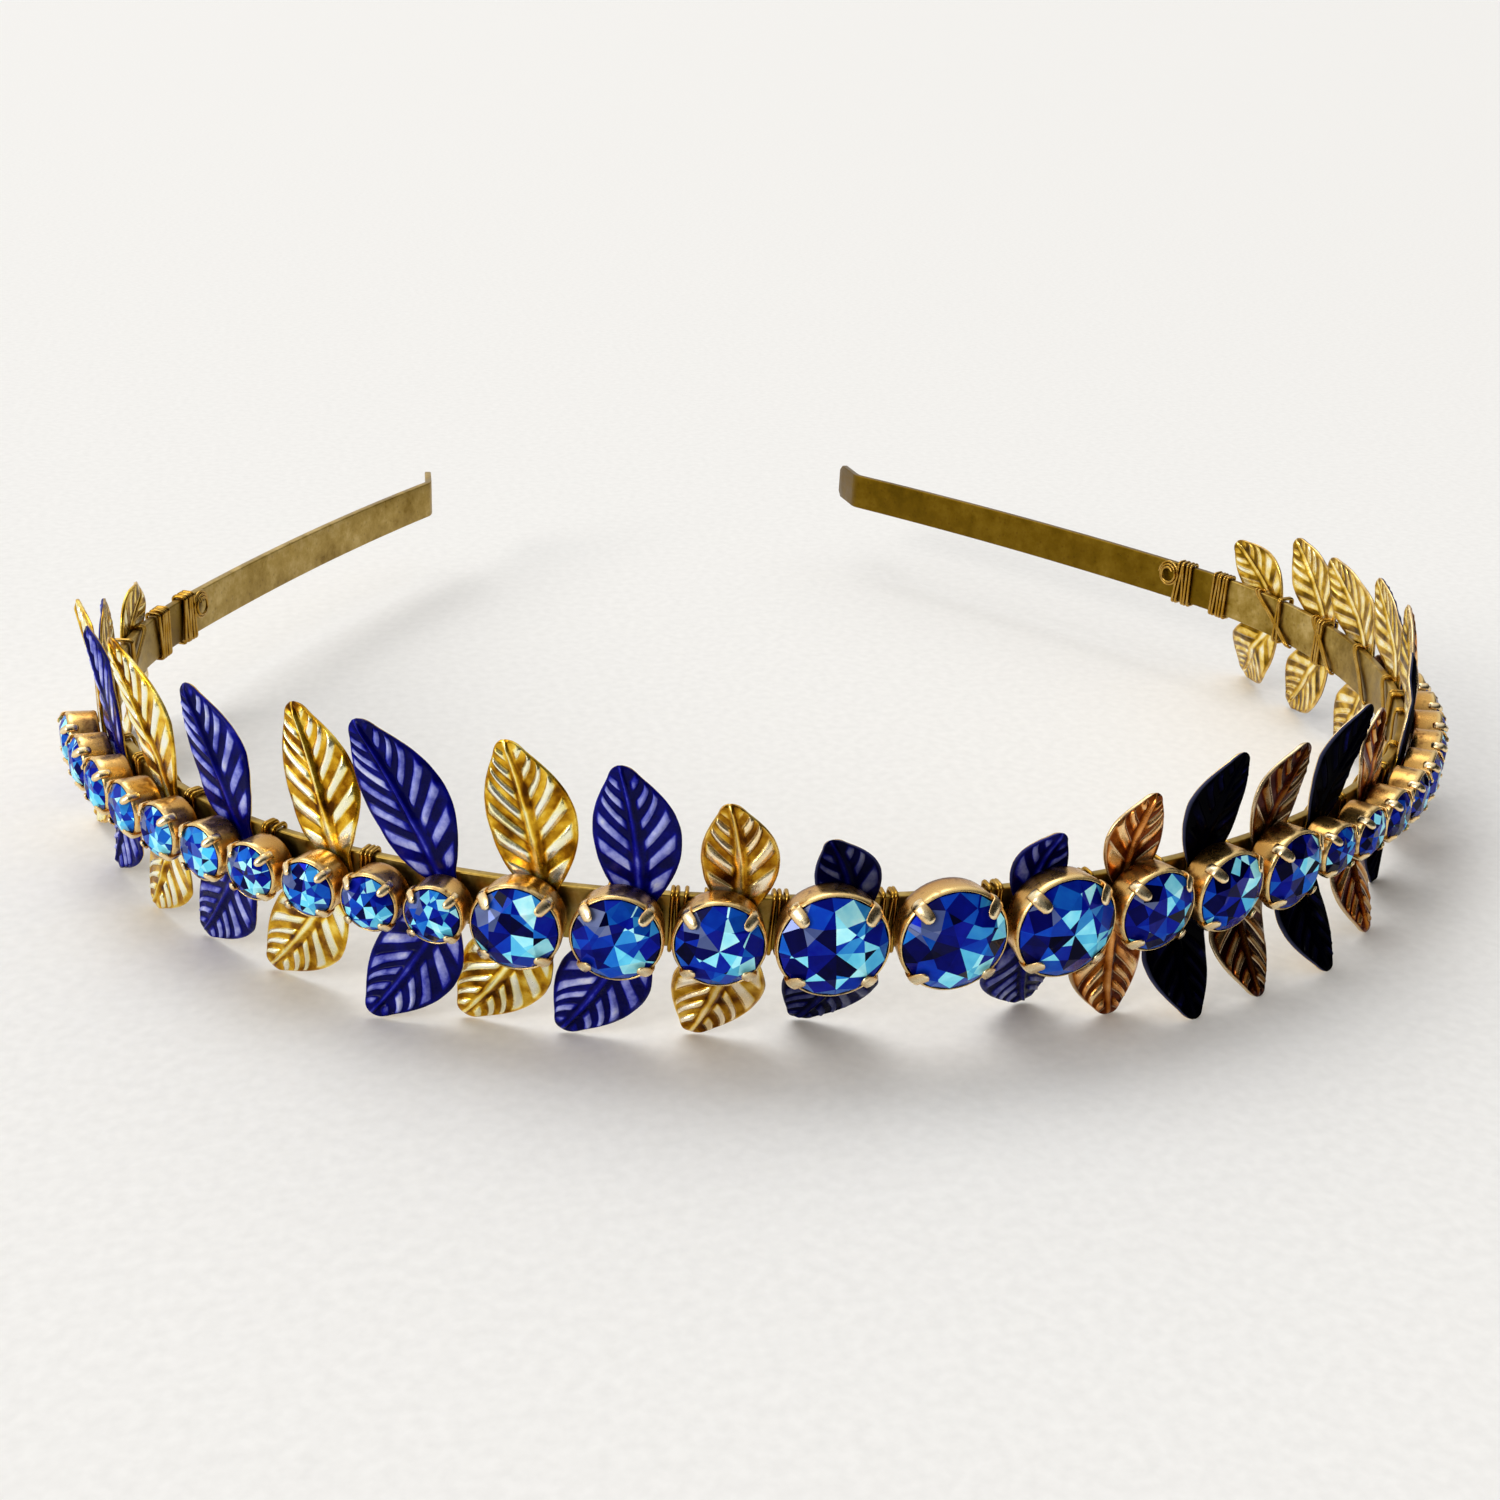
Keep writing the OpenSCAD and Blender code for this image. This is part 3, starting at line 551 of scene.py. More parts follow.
def bentProng(size, width):
    rim, root, tip = cupRadius(size), cups["height"] - cups["prongFoot"], size / 2 * (1 - cups["prongReach"])
    over = girdleHeight + stones["girdle"] / 2 + cups["stoneGap"]
    kiteShare, crown = stones["kiteShare"], stones["crownShare"] * size
    kiteRise = crown * (1 - kiteShare * math.cos(math.pi / stones["facets"])) / (1 - stones["tableShare"])
    rise = kiteRise * cups["prongReach"] / (1 - kiteShare)
    thick, out, slope = cups["prongThick"], cups["prongOut"], cups["prongSlope"]
    bend, top, sunk = rim * 0.62 + tip * 0.38, over + rise, rim - cups["prongSink"]
    # radius and height on the outer and on the inner side, and share of the width, from the foot to the tip
    rows = ((sunk, root, sunk - 0.05, root + 0.1, 0.7),
            (rim + out * 0.7, root + slope * 0.6, sunk, root + 0.3, 0.95),
            (rim + out, root + slope * 1.2, sunk, root + 0.6, 1),
            (rim + out, over - 0.25, sunk, over - 0.1, 1),
            (rim + out * 0.9, over + 0.02, rim - 0.12, over, 1),
            (rim + out * 0.45, over + 0.22, rim - 0.2, over, 1),
            (bend, over + 0.16 + rise * 0.38 + 0.14, bend - 0.1, over + rise * 0.36, 1),
            (tip + 0.35, over + rise * 0.85 + thick * 0.93, tip + 0.3, over + rise * 0.86, 0.86),
            (tip + 0.12, top + thick * 0.8, tip + 0.12, top, 0.55),
            (tip, top + thick * 0.45, tip + 0.02, top + 0.05, 0.16))
    across = (-1, -0.86, -0.5, 0, 0.5, 0.86, 1)
    points, rings, paintedLevels = [], [], []
    for ro, zo, ri, zi, share in rows:
        half, start = width / 2 * share, len(points)
        for u in across:
            dip = cups["prongCrown"] * u * u
            points.append((ro + (ri - ro) * dip, half * u, zo + (zi - zo) * dip))
            # painted highlight along the middle of the prong's outer face, less toward its edges
            paintedLevels.append(1 - 0.5 * abs(u))
        for u in across[-2:0:-1]:
            points.append((ri, half * u * 0.96, zi))
            # the prong's inner face painted in shade
            paintedLevels.append(0.2)
        rings.append(range(start, len(points)))
    return points, ringFaces(rings) + [tuple(rings[0])[::-1], tuple(rings[-1])], paintedLevels


def shapedSource(name, shape, material):
    points, faces, paintedLevels = shape
    source = meshObject(name, [Vector(p) * mm for p in points], faces, (material,))
    tool = bmesh.new()
    tool.from_mesh(source.data)
    bmesh.ops.recalc_face_normals(tool, faces=tool.faces)
    tool.to_mesh(source.data)
    tool.free()
    markPoints(source.data, {"paintedLightLevel": paintedLevels})
    return source


def makeSettingTree():
    tree, add, given = newTree("stoneSettings", Object=("Cup", "Prong"), Int=("Prong count",),
                               Float=("First prong",))
    cup, prong = (add("GeometryNodeObjectInfo", {"Object": given[label]}, out="Geometry")
                  for label in ("Cup", "Prong"))
    spots = add("Points", {"Count": given["Prong count"]})
    step = add("Math", [2 * math.pi, given["Prong count"]], "DIVIDE")
    angle = add("Math", [add("InputIndex"), step, given["First prong"]], "MULTIPLY_ADD")
    turn = add("EulerToRotation", [add("CombineXYZ", {2: angle})])
    prongs = add("InstanceOnPoints", {"Points": spots, "Instance": prong, "Rotation": turn})
    whole = add("JoinGeometry", [cup])
    fill(whole.node, [prongs])
    single = add("GeometryToInstance", [whole])
    heading = add("InputNamedAttribute", {"Name": "heading"}, data_type="FLOAT")
    facing = add("EulerToRotation", [add("CombineXYZ", {0: math.pi / 2, 2: heading})])
    placed = add("InstanceOnPoints", {
        "Points": given["Geometry"], "Instance": single, "Rotation": facing})
    add("NodeGroupOutput", [add("RealizeInstances", [placed])])  # cups and prongs bring their materials
    return tree


def makeSettings():
    tree = makeSettingTree()
    for rank, label in enumerate(("large", "medium", "small")):
        name, size = "settings" + label.capitalize(), stones["sizes"][rank]
        places = [stonePlace(n) for n in range(-stonesEachSide, stonesEachSide + 1) if sizeClass(n) == rank]
        cup = shapedSource(name + "Cup", turnedCup(size), settingGold)
        prong = shapedSource(name + "Prong", bentProng(size, cups["prongWidths"][rank]), prongGold)
        spots = [[fromBand(s, (0, -cups["seatOut"], 0))] for s in places]
        source = lineObject(name + "Spots", spots, {"heading": [bandPlan(s)[2] for s in places]})
        piece = runTree(tree, source, name, {
            "Cup": cup, "Prong": prong, "Prong count": cups["prongs"], "First prong": math.pi / 4})
        bpy.data.objects.remove(cup)
        bpy.data.objects.remove(prong)
        dress(piece, "settings_" + label)


makeSettings()
print("settings made")


# Stones: the CAD's cut, with the crown divided along the lines of the foil facets behind it

def cutStone(number):
    size = stoneSize(number)
    r, n, top = size / 2 + stones["fuller"], stones["facets"], stones["girdle"] / 2
    crown = stones["crownShare"] * size
    kite = crown * (1 - stones["kiteShare"] * math.cos(math.pi / n)) / (1 - stones["tableShare"])
    chance = random.Random(stones["seed"] * 997 + number * 31)
    form = bmesh.new()

    def ring(count, radius, height, turn=0.0):
        angles = [turn + 2 * math.pi * k / count for k in range(count)]
        return [form.verts.new((radius * math.cos(a), radius * math.sin(a), height)) for a in angles]

    table = ring(n, stones["tableShare"] * r, top + crown)
    kites = ring(n, stones["kiteShare"] * r, top + kite, math.pi / n)
    upper, lower = ring(2 * n, r, top), ring(2 * n, r, -top)
    culet = form.verts.new((0, 0, -pavilionHeight))
    addFace = form.faces.new
    addFace(table)
    for k in range(n):
        addFace((table[k], kites[k], table[(k + 1) % n]))
        addFace((table[k], kites[k - 1], upper[2 * k], kites[k]))
        addFace((kites[k], upper[2 * k], upper[2 * k + 1]))
        addFace((kites[k], upper[2 * k + 1], upper[(2 * k + 2) % (2 * n)]))
    for k in range(2 * n):
        m = (k + 1) % (2 * n)
        addFace((upper[k], lower[k], lower[m], upper[m]))
        addFace((lower[k], culet, lower[m]))
    bmesh.ops.recalc_face_normals(form, faces=form.faces)
    lines, cuts = stones["pavilionLines"], []
    for k in range(lines):
        cuts.append(((0.0, 0.0), math.pi * (k + 0.5) / lines + chance.uniform(-0.06, 0.06)))
    for k in range(stones["tableCuts"]):
        a = 2 * math.pi * (k + chance.uniform(-0.25, 0.25)) / stones["tableCuts"]
        far = chance.uniform(0.16, 0.5) * r
        cuts.append(((far * math.cos(a), far * math.sin(a)), a + math.pi / 2 + chance.uniform(-0.35, 0.35)))
    for (x, y), a in cuts:
        high = [f for f in form.faces if f.calc_center_median().z > top * 1.001]
        geometry = list({v for f in high for v in f.verts}) + list({e for f in high for e in f.edges}) + high
        bmesh.ops.bisect_plane(form, geom=geometry, dist=1e-5, plane_co=(x, y, 0),
                               plane_no=(-math.sin(a), math.cos(a), 0))
    turn = math.radians(number * stones["turnEach"])
    toneFacets(form, chance, r, top, turn, number / stonesEachSide)
    return form, turn


def toneFacets(form, chance, r, top, turn, shade):
    # Tone, veil and lean of each facet, with shade from -1 at the lit left end to 1 at the deep right end
    toneLayer, paleReflectionLayer = (form.faces.layers.float.new(label) for label in ("facetTone", "facetPaleReflection"))
    leanLayer = form.faces.layers.float_vector.new("facetLean")
    turns = (stones["paleReflectionToward"], stones["rimToward"], *stones["brightToward"])
    aims = [math.radians(a + chance.uniform(-9, 9)) for a in turns]
    veil = 15 - 14 * shade if shade < 0 else max(1, 17 - 70 * shade)
    widths = (veil, 46, 20 - (20 if shade < 0 else 12) * shade, 30 - 8 * shade)
    limits = [math.cos(math.radians(width)) for width in widths]
    patches = {}
    for face in form.faces:
        centre = face.calc_center_median()
        reach, angle = math.hypot(centre.x, centre.y) / r, math.atan2(centre.y, centre.x)
        sector, level = int(angle / (math.pi / 4) + 8.5) % 8, int(reach >= 0.5) + int(reach >= 0.8)
        key = (sector, level, tuple(round(c, 1) for c in face.normal))
        if key not in patches:
            patches[key] = (chance.choice(stones["tones"]), chance.uniform(-1, 1), chance.uniform(-1, 1))
        tone, leanX, leanY = patches[key]
        tone += chance.uniform(-0.05, 0.05) - 0.13 * shade
        veil = 0.0
        # painted light on the crown: two painted highlight patches toward fixed sides, a painted pale
        # reflection, a painted rim reflection, and a few painted glints at random, fewer toward the right
        # end
        atPaleReflection, atRim, atLow, atHigh = (
            math.cos(angle + turn - aim) > limit for aim, limit in zip(aims, limits))
        if 0.12 < reach < 0.8 and atLow:
            tone = chance.choice(stones["brightTones"])
        elif 0.3 < reach and atHigh:
            tone = chance.choice(stones["mixedTones"])
        elif 0.36 < reach < 0.93 and atPaleReflection:
            veil, tone = 1.0, chance.uniform(0.2, 0.6)
        elif reach > 0.8 and atRim:
            veil, tone = 0.3, chance.uniform(0.38, 0.56)
        elif chance.random() < 0.06 - 0.04 * shade:
            tone = 0.86
        if centre.z < top:
            tone = stones["sideTone"]
        face[toneLayer], face[paleReflectionLayer] = min(1.0, max(0.0, tone)), veil
        amount = stones["leanOfFoil"] if centre.z > top * 1.001 else 0.0
        face[leanLayer] = (leanX * amount, leanY * amount, 0.0)
        face.smooth = False


def stoneName(number):
    return "stone_centre" if number == 0 else f"stone_{'left' if number < 0 else 'right'}_{abs(number)}"


def makeStones():
    for number in range(-stonesEachSide, stonesEachSide + 1):
        form, turn = cutStone(number)
        s = stonePlace(number)
        place = Vector(fromBand(s, (0, -cups["seatOut"] - girdleHeight, 0)))
        facing = (Matrix.Rotation(bandPlan(s)[2], 4, "Z") @ Matrix.Rotation(math.pi / 2, 4, "X")
                  @ Matrix.Rotation(turn, 4, "Z"))
        leanLayer = form.faces.layers.float_vector["facetLean"]
        for face in form.faces:
            face[leanLayer] = facing.to_3x3() @ face[leanLayer]
        whole = Matrix.Translation(place) @ facing @ Matrix.Scale(mm, 4)
        bmesh.ops.transform(form, matrix=whole, verts=form.verts)
        name = "cut" + "".join(part.capitalize() for part in stoneName(number).split("_"))
        mesh = bpy.data.meshes.new(name)
        form.to_mesh(mesh)
        form.free()
        mesh.materials.append(sapphireGlass)
        dress(placeObject(name, mesh), stoneName(number))


makeStones()
print("stones made")


# Leaf pairs: the CAD's rule with finer rows, a raised midrib and embossed side veins

leaves = dict(
    width=8.0, thick=0.4, upperLength=17.0, waistWidth=1.8, bendRadius=3.0, edgeDrop=0.55,
    seat=0.8, pastRim=0.5, pastBand=0.4, crossingShare=0.38, tipShare=0.07, hugLength=6.0,
    waistShift=2.2, sidePitch=10.4, rowStep=0.2,
    midribRise=0.34, midribWidth=1.25, midribTaper=0.62, troughDepth=0.07, tipSweep=0.9,
    outline=((0.10, 0.28), (0.20, 0.56), (0.31, 0.81), (0.43, 0.96), (0.54, 1.0), (0.65, 0.94), (0.75, 0.80),
                (0.84, 0.60), (0.92, 0.38), (0.96, 0.28), (0.985, 0.18), (1.0, 0.06)),
    columns=(0, 0.045, 0.09, 0.14, 0.2, 0.28, 0.38, 0.5, 0.62, 0.74, 0.84, 0.91, 0.955, 0.985, 1.0),
    # upper lean, upper tilt, lower lean, lower tilt, size of the upper leaf, going outward from the centre
    left=((17, 4, 16, -32, 0.52), (5, 4, 16, -15, 0.69), (7, 4, 29, -5, 0.87), (11, 4, 32, -6, 0.96),
             (29, 0, 30, 14, 1.04), (20, -8, 36, -5, 0.94), (29, -2, 33, -5, 0.93), (28, 6, 24, 1, 1.02),
             (46, 2, 22, 3, 0.97), (47, 11, 26, 9, 0.94), (48, 11, 34, 20, 0.71), (50, 38, 36, 24, 0.62)),
    right=((20, 4, 16, -29, 0.48), (10, 4, 1, 0, 0.61), (15, 4, -7, 31, 0.76), (20, 4, -8, 31, 0.72),
              (27, 4, -3, 32, 0.85), (18, -8, -6, 23, 0.62), (45, -11, -2, 0, 0.88), (37, -8, 23, 2, 0.95),
              (42, -8, 28, 2, 0.97), (49, -8, 28, 4, 0.98), (43, 0, 37, 14, 0.88), (50, 0, 38, 31, 0.72)),
    # painted shade: how far the front of a leaf is darkened to copper brown or near black, most on the right
    # side, away from the light
    paintedShade=dict(left=(0.8, 0.35) + (0.0,) * 10,
              right=(0.45, 0.9, 1.0, 1.75, 1.0, 1.3, 1.0, 1.0, 0.8, 0.7, 0.5, 0.4)),
)
cupsEnd = stonePlaces[-1] + cupSize(stonesEachSide) / 2
frontPairs = sum(stones["eachSide"][:2]) + 1


def waistPlace(pair):
    front = min(pair, frontPairs)
    rim = stonePlaces[front] - cupSize(front) / 2 - cups["rimGap"] / 2
    return rim + leaves["waistShift"] + (pair - front) * leaves["sidePitch"]


def smoothCurve(xs, table):
    # Smooth curve through the table that never passes its points, for the outline's widths
    px, py = np.array(table).T
    slope = np.diff(py) / np.diff(px)
    tangent = np.zeros(len(px))
    for k in range(1, len(px) - 1):
        if slope[k - 1] * slope[k] > 0:
            tangent[k] = 2 * slope[k - 1] * slope[k] / (slope[k - 1] + slope[k])
    tangent[0], tangent[-1] = slope[0] * 0.3, slope[-1]
    xs = np.clip(xs, px[0], px[-1])
    i = np.clip(np.searchsorted(px, xs) - 1, 0, len(px) - 2)
    h = px[i + 1] - px[i]
    t = (xs - px[i]) / h
    return ((2 * t ** 3 - 3 * t ** 2 + 1) * py[i] + (t ** 3 - 2 * t ** 2 + t) * h * tangent[i]
            + (-2 * t ** 3 + 3 * t ** 2) * py[i + 1] + (t ** 3 - t ** 2) * h * tangent[i + 1])


def flatLength(pair, lean, tilt):
    lean = math.radians(lean)
    overRim = tilt > 0 and waistPlace(pair) < cupsEnd
    rim = cupSize(min(pair, stonesEachSide)) / 2 + leaves["pastRim"] if overRim else 0
    crossing = leaves["crossingShare"] * leaves["width"] * math.sin(abs(lean))
    return max(rim, (band["width"] / 2 + leaves["pastBand"] + crossing) / math.cos(lean))


def lowerLength(flat, lean, tilt):
    turn, lean, bend = math.radians(abs(tilt)), math.radians(lean), leaves["bendRadius"]
    tipWidth = leaves["tipShare"] * leaves["width"]
    corner = (tipWidth * math.sin(abs(lean)) + leaves["thick"] * math.sin(turn) * math.cos(lean)) / 2
    reach = (band["lift"] - corner) / math.cos(lean)
    return flat + bend * turn + (reach - flat - bend * math.sin(turn)) / math.cos(turn)


def bladeRings(up, lean, tilt, flat, length, width, waistTurn, hugRadius, litSide):
    # Closed rings of points from the waist to the tip, with the marks that the materials read
    lean, turn, side = math.radians(lean), math.radians(abs(tilt)), math.copysign(1, tilt)
    bend = leaves["bendRadius"]
    rows = int(length / leaves["rowStep"])
    r = np.linspace(0, 1, rows + 1) ** 0.96 * length
    front = np.array([-u for u in leaves["columns"][:0:-1]] + list(leaves["columns"]))
    back, whole = front[-2:0:-1], np.ones((rows + 1, 1))
    u = np.concatenate([front, back])[None, :] * whole
    face = np.concatenate([np.ones(len(front)), -np.ones(len(back))])[None, :] * whole
    face[:, 0] = face[:, len(front) - 1] = 0
    outline = ((0, leaves["waistWidth"] / width),) + leaves["outline"]
    # side veins slant forward, and less so toward the tip, so that no row passes the one before it
    slant = smoothCurve(r / length, outline) * width / 2 / math.tan(math.radians(veins["angle"]))
    shear = np.minimum(slant, veins["tipSlant"] * (length - r)) * smoothStep(r / 3)
    distance = np.minimum(r[:, None] + shear[:, None] * np.abs(u), length)
    half = smoothCurve(distance / length, outline) * width / 2
    across = u * half
    reachIn, tip = np.abs(across), distance / length
    past = np.clip((distance - flat) / bend, 0, turn)
    rest = np.maximum(0, distance - flat - bend * turn)
    alongBlade = np.minimum(distance, flat) + bend * np.sin(past) + rest * np.cos(turn)
    outward = side * (bend * (1 - np.cos(past)) + rest * np.sin(turn))
    sweep = leaves["tipSweep"] * (1.2 * tip ** 3 - 0.6 * tip) * smoothStep((distance - 2) / 4)
    blend = smoothStep(distance / (0.14 * length))
    theta = waistTurn * (1 - blend) + up * lean * blend
    fade = np.clip((distance - flat) / bend, 0, 1)
    relieved = np.maximum(fade, np.clip((distance - 2.2) / 2.5, 0, 1) * 0.35)
    ribHalf = leaves["midribWidth"] / 2 * (1 - leaves["midribTaper"] * tip)
    rib = 0.5 + 0.5 * np.cos(np.pi * np.clip(reachIn / ribHalf, 0, 1))
    trough = np.exp(-((reachIn / ribHalf - 1.45) / 0.4) ** 2) * (1 - smoothStep((tip - 0.78) / 0.14))
    bladeRow = r / veins["pitch"] + 0.2
    apart = np.abs(bladeRow % 1 - 0.5) / (veins["barShare"] / 2 + 0.08)
    bar = (0.5 + 0.5 * np.cos(np.pi * np.clip(apart, 0, 1)))[:, None]
    envelope = (smoothStep((reachIn - 1.1 * ribHalf) / 0.4) * smoothStep((0.93 - np.abs(u)) / 0.12)
                * smoothStep((half - 0.7) / 1.1) * smoothStep((distance - 1.5) / 2))
    level = (bar - 0.3) * envelope
    raised = leaves["midribRise"] * rib - leaves["troughDepth"] * trough + veins["rise"] * level
    rise = (relieved * smoothStep((1 - tip) / 0.07) * raised
            - fade * leaves["edgeDrop"] * (across * 2 / leaves["width"]) ** 2)
    edge = np.clip((np.abs(u) - 0.9) / 0.1, 0, 1)
    endThin = np.sqrt(np.clip((1 - tip) / 0.03, 0.02, 1))
    off = rise + face * leaves["thick"] / 2 * np.sqrt(1 - edge ** 2 * 0.98) * endThin
    alongUp, offAlong = alongBlade - off * np.sin(past) * side, off * np.cos(past)
    x = alongUp * np.sin(lean) + (across + sweep) * np.cos(theta)
    z = alongUp * up * math.cos(lean) - (across + sweep) * np.sin(theta)
    near = np.minimum(np.abs(x), leaves["hugLength"])
    y = near / hugRadius * (np.abs(x) - near / 2) - (outward + offAlong) - leaves["seat"]
    # colour level: darker in the trough beside the midrib, partly patina and partly painted shade; lighter
    # on bars, midrib and rim as painted highlight; the midrib's side toward the light painted lit, the other
    # side painted in shade; and a painted glint along the rim
    flank = np.sin(np.pi * np.clip(across / ribHalf, -1, 1)) * litSide * face
    lowest = 0.26 - 0.2 * trough * (face > -0.5)
    marks = {"relief": lowest + 0.12 * level + 0.3 * rib + 0.2 * flank + 0.12 * edge,
             "bladeRow": bladeRow[:, None] * np.ones_like(u), "veinRoom": envelope,
             "paintedEdgeGlint": np.clip((np.abs(u) - 0.93) / 0.04, 0, 1) * smoothStep((distance - 1.5) / 1.5)}
    return np.stack([x, y, z], axis=-1), marks, len(front)


def makeLeafPair(side, pair):
    upLean, upTilt, lowLean, lowTilt, size = leaves[side][pair - 1]
    flatLow, flatUp = flatLength(pair, lowLean, lowTilt), flatLength(pair, upLean, upTilt)
    place, width, left = waistPlace(pair), leaves["width"], side == "left"
    hugRadius = band[("front" if place < frontEnd else "side" if place < sideEnd else "arm") + "Radius"]
    # the turn of the waist, the band's curve, and which side of the midrib is painted lit: the one toward
    # the light, on the viewer's left
    shared = math.radians(upLean - lowLean) / 2, hugRadius, 1 if left else -1
    upper, upperMarks, frontCount = bladeRings(1, upLean, upTilt, flatUp, size * leaves["upperLength"],
                                               width * math.sqrt(min(1, size)), *shared)
    lower, lowerMarks, _ = bladeRings(-1, lowLean, lowTilt, flatLow, lowerLength(flatLow, lowLean, lowTilt),
                                      width, *shared)
    rings = np.concatenate([lower[:0:-1], upper]) * np.array([-1 if left else 1, 1, 1])
    rows, count = rings.shape[:2]
    numbers = [range(row * count, (row + 1) * count) for row in range(rows)]
    faces = ringFaces(numbers) + [tuple(numbers[0])[::-1], tuple(numbers[-1])]
    kinds = [int(k >= frontCount - 1) for row in range(rows - 1) for k in range(count)] + [0, 0]
    blue = pair % 2 == 1
    piece = meshObject(
        f"leafPair{side.capitalize()}{pair}", fromBand(-place if left else place, rings.reshape(-1, 3)),
        [face[::-1] for face in faces] if left else faces, (blueEnamel if blue else leafGold, leafBackGold))
    piece.data.polygons.foreach_set("material_index", kinds)
    for label in upperMarks:
        values = np.concatenate([lowerMarks[label][:0:-1], upperMarks[label]])
        markPoints(piece.data, {label: values.reshape(-1)})
    markPoints(piece.data, {"paintedShade": [leaves["paintedShade"][side][pair - 1]] * (rows * count)})
    dress(piece, f"leaf_pair_{side}_{pair}")


for side in ("left", "right"):
    for pair in range(1, len(leaves[side]) + 1):
        makeLeafPair(side, pair)
print("leaf pairs made")


# Binding wire: turns round the band, and strands that carry the wire from bundle to bundle

wires = dict(
    wire=0.4, gap=0.1, pitch=0.54, wireSides=8, sway=6.0, seed=5, cornerShare=0.9,
    overWaist=0.55,
    # place of a bundle's outermost turn, number of turns
    left=((5.27, 3), (14.69, 3), (23.19, 3), (50.64, 3), (60.97, 3), (71.38, 3), (81.50, 3), (124.91, 5),
             (130.91, 5)),
    right=((5.30, 3), (14.03, 3), (21.69, 2), (29.79, 1), (38.50, 1), (48.51, 2), (59.16, 3), (81.59, 3),
              (125.69, 5), (131.69, 5)),
    overLeft=((103.75, 1), (114.15, 2)), overRight=((114.15, 2), (105.9, 3)),
    curlPlace=dict(left=132.2, right=132.9), curlRadius=1.6, curlTurns=2.4, curlLift=0.9,
    curlSteps=40, strandWire=0.85, strandGap=0.5, strandRoom=2.6, lastRoom=3.4,
    strandCorner=0.45, level=0.55,
)


def wireProfile(add, given):
    radius = add("Math", [given["Wire"], 0.5], "MULTIPLY")
    return add("CurvePrimitiveCircle", {"Resolution": given["Wire sides"], "Radius": radius})


def makeTurnTree():
    tree, add, given = newTree("wireTurns", Float=("Wire", "Width", "Depth", "Shift", "Sway"),
                               Int=("Wire sides", "Seed"), Material=("Material",))
    loop = add("CurvePrimitiveQuadrilateral", {"Width": given["Depth"], "Height": given["Width"]})
    corner = add("Math", [given["Wire"], wires["cornerShare"]], "MULTIPLY")
    rounded = add("FilletCurve", {"Curve": loop, "Radius": corner, "Count": 5}, mode="POLY")
    stood = add("Transform", {"Geometry": rounded, "Rotation": (math.pi / 2, 0, math.pi / 2),
                                          "Translation": add("CombineXYZ", {1: given["Shift"]})})
    turn = add("CurveToMesh", {"Curve": stood, "Profile Curve": wireProfile(add, given)})
    heading = add("InputNamedAttribute", {"Name": "heading"}, data_type="FLOAT")
    away = add("Math", [given["Sway"], -1.0], "MULTIPLY")
    sway = add("RandomValue", {2: away, 3: given["Sway"], "Seed": given["Seed"]}, out=1, data_type="FLOAT")
    facing = add("EulerToRotation", [add("CombineXYZ", {1: sway, 2: heading})])
    placed = add("InstanceOnPoints", {"Points": given["Geometry"], "Instance": turn, "Rotation": facing})
    endTree(add, placed, given["Material"])
    return tree


def makeStrandTree():
    tree, add, given = newTree("wireStrands", Float=("Wire",), Int=("Wire sides",), Material=("Material",))
    path = add("MeshToCurve", [given["Geometry"]])
    strand = add("CurveToMesh", {
        "Curve": path, "Profile Curve": wireProfile(add, given), "Fill Caps": True})
    endTree(add, strand, given["Material"])
    return tree


def smoothRun(knots, steps=8):
    # Catmull-Rom run through knots given as place along the band, toward the head, and up
    k = [np.array(knot, float) for knot in (knots[0], *knots, knots[-1])]
    run = []
    for a, b, c, d in zip(k, k[1:], k[2:], k[3:]):
        for t in np.linspace(0, 1, steps, endpoint=False):
            run.append(0.5 * ((2 * b) + (c - a) * t + (2 * a - 5 * b + 4 * c - d) * t ** 2
                              + (3 * b - a - 3 * c + d) * t ** 3))
    return [fromBand(s, (0, inward, height)) for s, inward, height in run + [k[-1]]]


def joinPieces(name, pieces):
    form = bmesh.new()
    for piece in pieces:
        form.from_mesh(piece.data)
        bpy.data.objects.remove(piece)
    mesh = bpy.data.meshes.new(name)
    form.to_mesh(mesh)
    form.free()
    mesh.materials.append(wireGold)
    mesh.polygons.foreach_set("material_index", [0] * len(mesh.polygons))
    mesh.polygons.foreach_set("use_smooth", [True] * len(mesh.polygons))
    markPoints(mesh, {"wireLevel": [wires["level"]] * len(mesh.vertices)})
    return placeObject(name, mesh)


def strandRuns(side, sign, lay, top):
    # Two strands that cross the inside of the band behind each pair, and the wire's end, curled up
    runs, last, corner = [], len(leaves[side]), wires["strandCorner"]
    for pair in range(1, last + 1):
        room = wires["strandRoom"] if pair < last else wires["lastRoom"]
        for s in (waistPlace(pair), waistPlace(pair) + wires["strandGap"]):
            shape = ((-room, 0.1, -top), (0.2 - room, lay, corner - top), (0, lay, 0),
                     (room - 0.2, lay, top - corner), (room, 0.1, top), (room + 0.15, -lay * 0.9, top - 0.5))
            runs.append(smoothRun([(sign * (s + off), inward, height) for off, inward, height in shape]))
    curl = []
    for share in np.linspace(0, 1, wires["curlSteps"]):
        a, r = 2 * math.pi * wires["curlTurns"] * share, wires["curlRadius"] * (1 - 0.5 * share)
        curl.append(fromBand(sign * (wires["curlPlace"][side] + r * math.cos(a)),
                             (0, lay + 0.45 * share, wires["curlLift"] + r * 1.1 * math.sin(a))))
    return runs + [curl]


